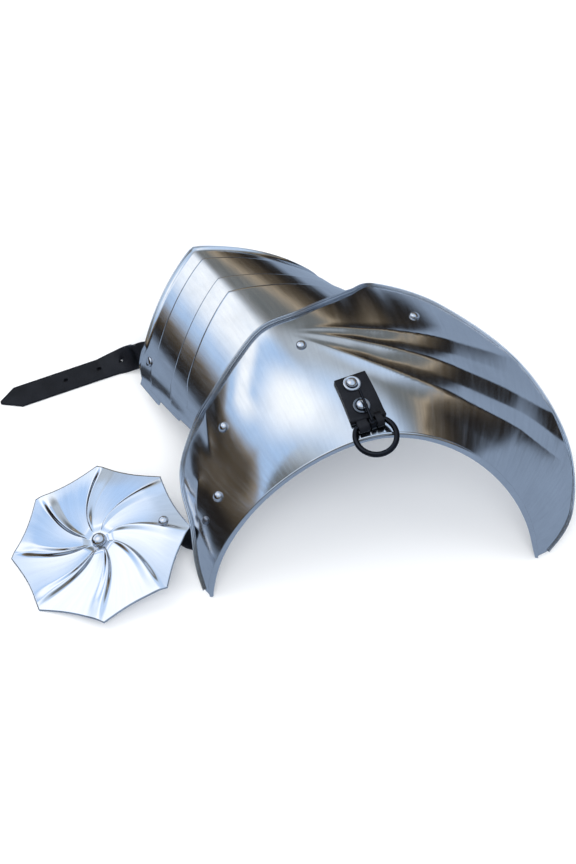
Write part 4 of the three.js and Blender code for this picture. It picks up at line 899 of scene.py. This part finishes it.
def nodes_of(name):
    mat = bpy.data.materials.new(name)
    mat.use_nodes = True
    tree = mat.node_tree
    return mat, tree.nodes, tree.links, tree.nodes["Principled BSDF"]


def texture(nodes, links, kind, scale, detail=4, rough=0.6, stretch=(1, 1, 1), brush=False):
    """A texture in object space, or along the brushing map of a sheet."""
    if brush:
        coords = nodes.new("ShaderNodeAttribute")
        coords.attribute_name = "brush"
        source = coords.outputs["Vector"]
    else:
        coords = nodes.new("ShaderNodeTexCoord")
        source = coords.outputs["Object"]
    mapping = nodes.new("ShaderNodeMapping")
    mapping.inputs["Scale"].default_value = stretch
    links.new(source, mapping.inputs["Vector"])
    tex = nodes.new(kind)
    tex.inputs["Scale"].default_value = scale
    if "Detail" in tex.inputs:
        tex.inputs["Detail"].default_value = detail
        tex.inputs["Roughness"].default_value = rough
    links.new(mapping.outputs["Vector"], tex.inputs["Vector"])
    return tex


def ramp(nodes, links, source, stops):
    r = nodes.new("ShaderNodeValToRGB")
    while len(r.color_ramp.elements) < len(stops):
        r.color_ramp.elements.new(0.5)
    for e, (pos, value) in zip(r.color_ramp.elements, stops):
        e.position = pos
        e.color = (*value, 1)
    links.new(source, r.inputs["Fac"])
    return r


def remap(nodes, links, source, low, high, low_in=0.3, high_in=0.7):
    m = nodes.new("ShaderNodeMapRange")
    for key, value in (("From Min", low_in), ("From Max", high_in), ("To Min", low), ("To Max", high)):
        m.inputs[key].default_value = value
    links.new(source, m.inputs["Value"])
    return m.outputs["Result"]


def bump(nodes, links, height, strength, distance, before=None):
    b = nodes.new("ShaderNodeBump")
    b.inputs["Strength"].default_value = strength
    b.inputs["Distance"].default_value = distance
    links.new(height, b.inputs["Height"])
    if before:
        links.new(before, b.inputs["Normal"])
    return b.outputs["Normal"]


def multiply(nodes, links, a, b):
    m = nodes.new("ShaderNodeMix")
    m.data_type = "RGBA"
    m.blend_type = "MULTIPLY"
    m.inputs["Factor"].default_value = 1
    links.new(a, m.inputs[6])
    links.new(b, m.inputs[7])
    return m.outputs[2]


# How fine the marks are across and along the brushing, per metre
STREAKS, SCUFFS, FINE_LINES, WIDE_LINES = (420, 26, 1), (210, 30, 1), (1500, 60, 1), (90, 9, 1)


def steel(name, colour=(0.66, 0.68, 0.71), roughness=0.14, brush=True, dark=0.88):
    """Polished steel: cloudy tint, faint streaks, scuffs, soft dents and fine lines."""
    mat, nodes, links, bsdf = nodes_of(name)
    bsdf.inputs["Metallic"].default_value = 1
    clouds = texture(nodes, links, "ShaderNodeTexNoise", 30, 5, 0.6)
    tint = ramp(nodes, links, clouds.outputs["Fac"],
                [(0.3, tuple(c * dark for c in colour)), (0.7, colour)])
    streak = texture(nodes, links, "ShaderNodeTexNoise", 1, 4, 0.6, STREAKS, brush)
    lines = ramp(nodes, links, streak.outputs["Fac"], [(0.25, (0.93, 0.93, 0.94)), (0.6, (1, 1, 1))])
    both = multiply(nodes, links, tint.outputs["Color"], lines.outputs["Color"])
    links.new(both, bsdf.inputs["Base Color"])
    scuff = texture(nodes, links, "ShaderNodeTexNoise", 1, 6, 0.65, SCUFFS, brush)
    links.new(remap(nodes, links, scuff.outputs["Fac"], roughness - 0.05, roughness + 0.07),
              bsdf.inputs["Roughness"])
    dents = texture(nodes, links, "ShaderNodeTexNoise", 13, 2, 0.4)
    fine = texture(nodes, links, "ShaderNodeTexNoise", 1, 3, 0.6, FINE_LINES, brush)
    wide = texture(nodes, links, "ShaderNodeTexNoise", 1, 3, 0.5, WIDE_LINES, brush)
    normal = bump(nodes, links, dents.outputs["Fac"], 0.25, 0.0006)
    normal = bump(nodes, links, wide.outputs["Fac"], 0.07, 0.0002, normal)
    normal = bump(nodes, links, fine.outputs["Fac"], 0.08, 0.00002, normal)
    links.new(normal, bsdf.inputs["Normal"])
    return mat


def leather(name, colour=(0.003, 0.0033, 0.005), roughness=0.34):
    """Dyed leather: patches of wear, a fine grain and a shallow unevenness."""
    mat, nodes, links, bsdf = nodes_of(name)
    bsdf.inputs["Specular IOR Level"].default_value = 0.2
    grain = texture(nodes, links, "ShaderNodeTexVoronoi", 1100)
    patch = texture(nodes, links, "ShaderNodeTexNoise", 70, 5, 0.6)
    wear = texture(nodes, links, "ShaderNodeTexNoise", 260, 6, 0.7)
    tint = ramp(nodes, links, patch.outputs["Fac"],
                [(0.35, colour), (0.75, tuple(c * 2.2 + 0.002 for c in colour))])
    links.new(tint.outputs["Color"], bsdf.inputs["Base Color"])
    links.new(remap(nodes, links, wear.outputs["Fac"], roughness - 0.1, roughness + 0.16),
              bsdf.inputs["Roughness"])
    normal = bump(nodes, links, grain.outputs["Distance"], 0.4, 0.0003)
    normal = bump(nodes, links, patch.outputs["Fac"], 0.3, 0.0005, normal)
    links.new(normal, bsdf.inputs["Normal"])
    return mat


SLOT_LOOK = {
    "plate": steel("plate_steel"),
    "rivet": steel("rivet_steel", (0.62, 0.63, 0.66), 0.09, brush=False),
    "leather": leather("black_leather"),
    "inner_leather": leather("inner_leather", (0.035, 0.024, 0.017), 0.62),
    "buckle": steel("black_metal", (0.03, 0.031, 0.036), 0.2, brush=False, dark=0.5),
}
# Pieces whose look differs from the rest of their slot: a finer polish on the disc, a painted dark
# reflection on the second washer, a duller mid grey on the wing rivet
OWN_LOOK = {
    "disc_shell": steel("disc_polish", (0.69, 0.72, 0.77), 0.11, dark=0.94),
    # painted reflection: the second washer's darker colour stands in for the dark that it reflects
    "washer_2": steel("steel_painted_dark_reflection", (0.2, 0.21, 0.23), 0.16, brush=False, dark=0.7),
    # the wing rivet is a duller, mid grey steel instead of the black of its slot
    "wing_rivet": steel("dull_grey_steel", (0.3, 0.31, 0.34), 0.3, brush=False, dark=0.7),
}


def paint(obj, mat):
    obj.data.materials.clear()
    obj.data.materials.append(mat)


for part in frame["record"]["subparts"]:
    paint(frame["nodes"][part["node"]], SLOT_LOOK[part["material_slot"]])
for obj in bpy.data.objects:
    if obj.type == "MESH" and "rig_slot" in obj:
        paint(obj, OWN_LOOK.get(obj.name, SLOT_LOOK[obj["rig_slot"]]))

# Stage: a pale floor, and a glowing dome that only reflections show, whose tones are painted reflections
# of a dark wall, a warm streak, a blue-grey ground, a pale ceiling and one soft box

def plain(name, colour, roughness=0.9):
    mat, nodes, links, bsdf = nodes_of(name)
    bsdf.inputs["Base Color"].default_value = (*colour, 1)
    bsdf.inputs["Roughness"].default_value = roughness
    bsdf.inputs["Specular IOR Level"].default_value = 0.1
    return mat


def stage_object(name, points, faces, mat):
    mesh = bpy.data.meshes.new(name)
    mesh.from_pydata(points, [], faces)
    obj = bpy.data.objects.new(name, mesh)
    bpy.context.scene.collection.objects.link(obj)
    obj.data.materials.append(mat)
    return obj


HALF = 9.0
floor = stage_object("floor", [(-HALF, -HALF, 0), (HALF, -HALF, 0), (HALF, HALF, 0), (-HALF, HALF, 0)],
                     [(0, 1, 2, 3)], plain("floor_paint", (0.9, 0.905, 0.91)))
# Reflections don't show the floor. The dome's blue-grey ground, a painted reflection, shows there instead
floor.visible_glossy = False

# A dark wall, painted on the dome as a reflection only, goes round the studio. Direction from +X, middle
# height, half height, in degrees
WALL = np.array([
    (-180, 14, 12), (-110, 32, 5), (-45, 32, 6), (-20, 31, 11), (0, 37, 13), (20, 28, 11), (34, 17, 12),
    (48, 3, 14), (62, 4, 13), (90, 1, 10), (122, 1, 8), (140, 8, 16), (158, 14, 20), (180, 14, 12)])
# Tones of the painted reflections on the dome
GROUND, DARK = (0.34, 0.43, 0.57), (0.022, 0.019, 0.017)
BROWN, WARM = (0.11, 0.085, 0.057), (0.72, 0.58, 0.41)
BLUE, WHITE, PALE = (0.62, 0.86, 1.22), (1.5, 1.53, 1.55), (0.78, 0.97, 1.24)
SHADE, GREY = (0.21, 0.225, 0.225), (0.66, 0.73, 0.8)
BOX_TURN, BOX_HEIGHT, BOX_SPREAD, BOX_EDGE = 128, 62, 20, 12


def mix(a, b, t):
    t = np.asarray(t)[..., None]
    return a * (1 - t) + np.asarray(b) * t


def direction(az, el):
    level = np.cos(rad(el))
    return np.stack([level * np.cos(rad(az)), level * np.sin(rad(az)), np.sin(rad(el))], -1)


def painted_reflection_tone(az, el):
    """Painted reflection colour in a direction, seen only in the metal: ground, dark wall, a pale ceiling
    and one soft box.
    """
    middle = np.interp(az, WALL[:, 0], WALL[:, 1])
    half = np.interp(az, WALL[:, 0], WALL[:, 2])
    up = (el - middle) / half
    above = el - middle - half
    back = 1 - smooth(az, 64, 80)  # in the painted reflections the side behind the wearer is dimmer
    c = np.broadcast_to(np.array(GROUND), az.shape + (3,))
    c = mix(c, DARK, smooth(up, -1.15, -0.9))
    c = mix(c, BROWN, smooth(up, -0.3, 0.4))
    c = mix(c, WARM, smooth(up, 0.55, 0.85) * (0.4 + 0.6 * back))
    c = mix(c, BLUE, smooth(up, 0.9, 1.15) * (1 - back))
    c = mix(c, WHITE, smooth(above, 5, 12) * (1 - back) * (1 - smooth(az, 125, 145)))
    c = mix(c, BLUE, smooth(above, 17, 24) * (1 - back))
    c = mix(c, SHADE, smooth(up, 0.85, 1.1) * back)
    c = mix(c, GREY, smooth(above, 10, 24) * back)
    c = mix(c, PALE, smooth(el, 46, 66))
    away = np.degrees(np.arccos(np.clip(direction(az, el) @ direction(BOX_TURN, BOX_HEIGHT), -1, 1)))
    return mix(c, WHITE, 1 - smooth(away, BOX_SPREAD - BOX_EDGE, BOX_SPREAD + BOX_EDGE))


AZ_STEPS, EL_STEPS, EL_END, FAR = 180, 120, 89.5, 6.0
AZ, EL = np.meshgrid(np.linspace(-180, 180, AZ_STEPS + 1), np.linspace(-EL_END, EL_END, EL_STEPS),
                     indexing="ij")
dome_points = direction(AZ, EL) * FAR
# The dome glows with these painted reflections. Only glossy rays see it, so it lights nothing else
reflection_dome_mat, nodes, links, bsdf = nodes_of("painted_reflection_tone")
glow = nodes.new("ShaderNodeEmission")
tint = nodes.new("ShaderNodeAttribute")
tint.attribute_name = "tone"
links.new(tint.outputs["Color"], glow.inputs["Color"])
links.new(glow.outputs["Emission"], nodes["Material Output"].inputs["Surface"])
reflection_dome = stage_object("sky_card", dome_points.reshape(-1, 3).tolist(), grid_faces(AZ_STEPS + 1, EL_STEPS),
                   reflection_dome_mat)
tones = reflection_dome.data.attributes.new("tone", "FLOAT_COLOR", "POINT")
colour = painted_reflection_tone(AZ, EL).reshape(-1, 3)
colour = np.concatenate([colour, np.ones((len(colour), 1))], 1).astype(np.float32)
tones.data.foreach_set("color", colour.reshape(-1))
reflection_dome.visible_camera = reflection_dome.visible_diffuse = reflection_dome.visible_shadow = reflection_dome.visible_transmission = False

world = bpy.data.worlds.new("studio")
bpy.context.scene.world = world
world.use_nodes = True
world.node_tree.nodes["Background"].inputs["Color"].default_value = (0.95, 0.97, 1, 1)
world.node_tree.nodes["Background"].inputs["Strength"].default_value = 1.0


def area(name, position, size, power, colour):
    """A square soft light that looks at the object. Reflections show the glowing dome's painted
    reflections instead of it.
    """
    light = bpy.data.lights.new(name, "AREA")
    light.shape = "RECTANGLE"
    light.size = light.size_y = size
    light.energy = power
    light.color = colour
    obj = bpy.data.objects.new(name, light)
    bpy.context.scene.collection.objects.link(obj)
    obj.location = position
    obj.rotation_euler = (-Vector(position)).to_track_quat("-Z", "Y").to_euler()
    obj.visible_glossy = False


area("key", (-0.7, 1.0, 2.2), 1.6, 14, (1, 0.99, 0.97))
area("front", (-1.0, -1.4, 2.0), 1.6, 34, (1, 1, 1))
area("fill", (1.6, -1.4, 1.8), 1.4, 8, (0.95, 0.97, 1))

camera = bpy.data.objects.new("camera", bpy.data.cameras.new("camera"))
bpy.context.scene.collection.objects.link(camera)
camera.data.sensor_width = 36
camera.data.lens = 107.14
camera.location = Vector(to_frame([-706.1, -850.7, 1378.9]))
camera.rotation_euler = Vector((0.378, 0.520, -0.766)).to_track_quat("-Z", "Y").to_euler()
bpy.context.scene.camera = camera
bpy.context.scene.view_settings.view_transform = "Standard"
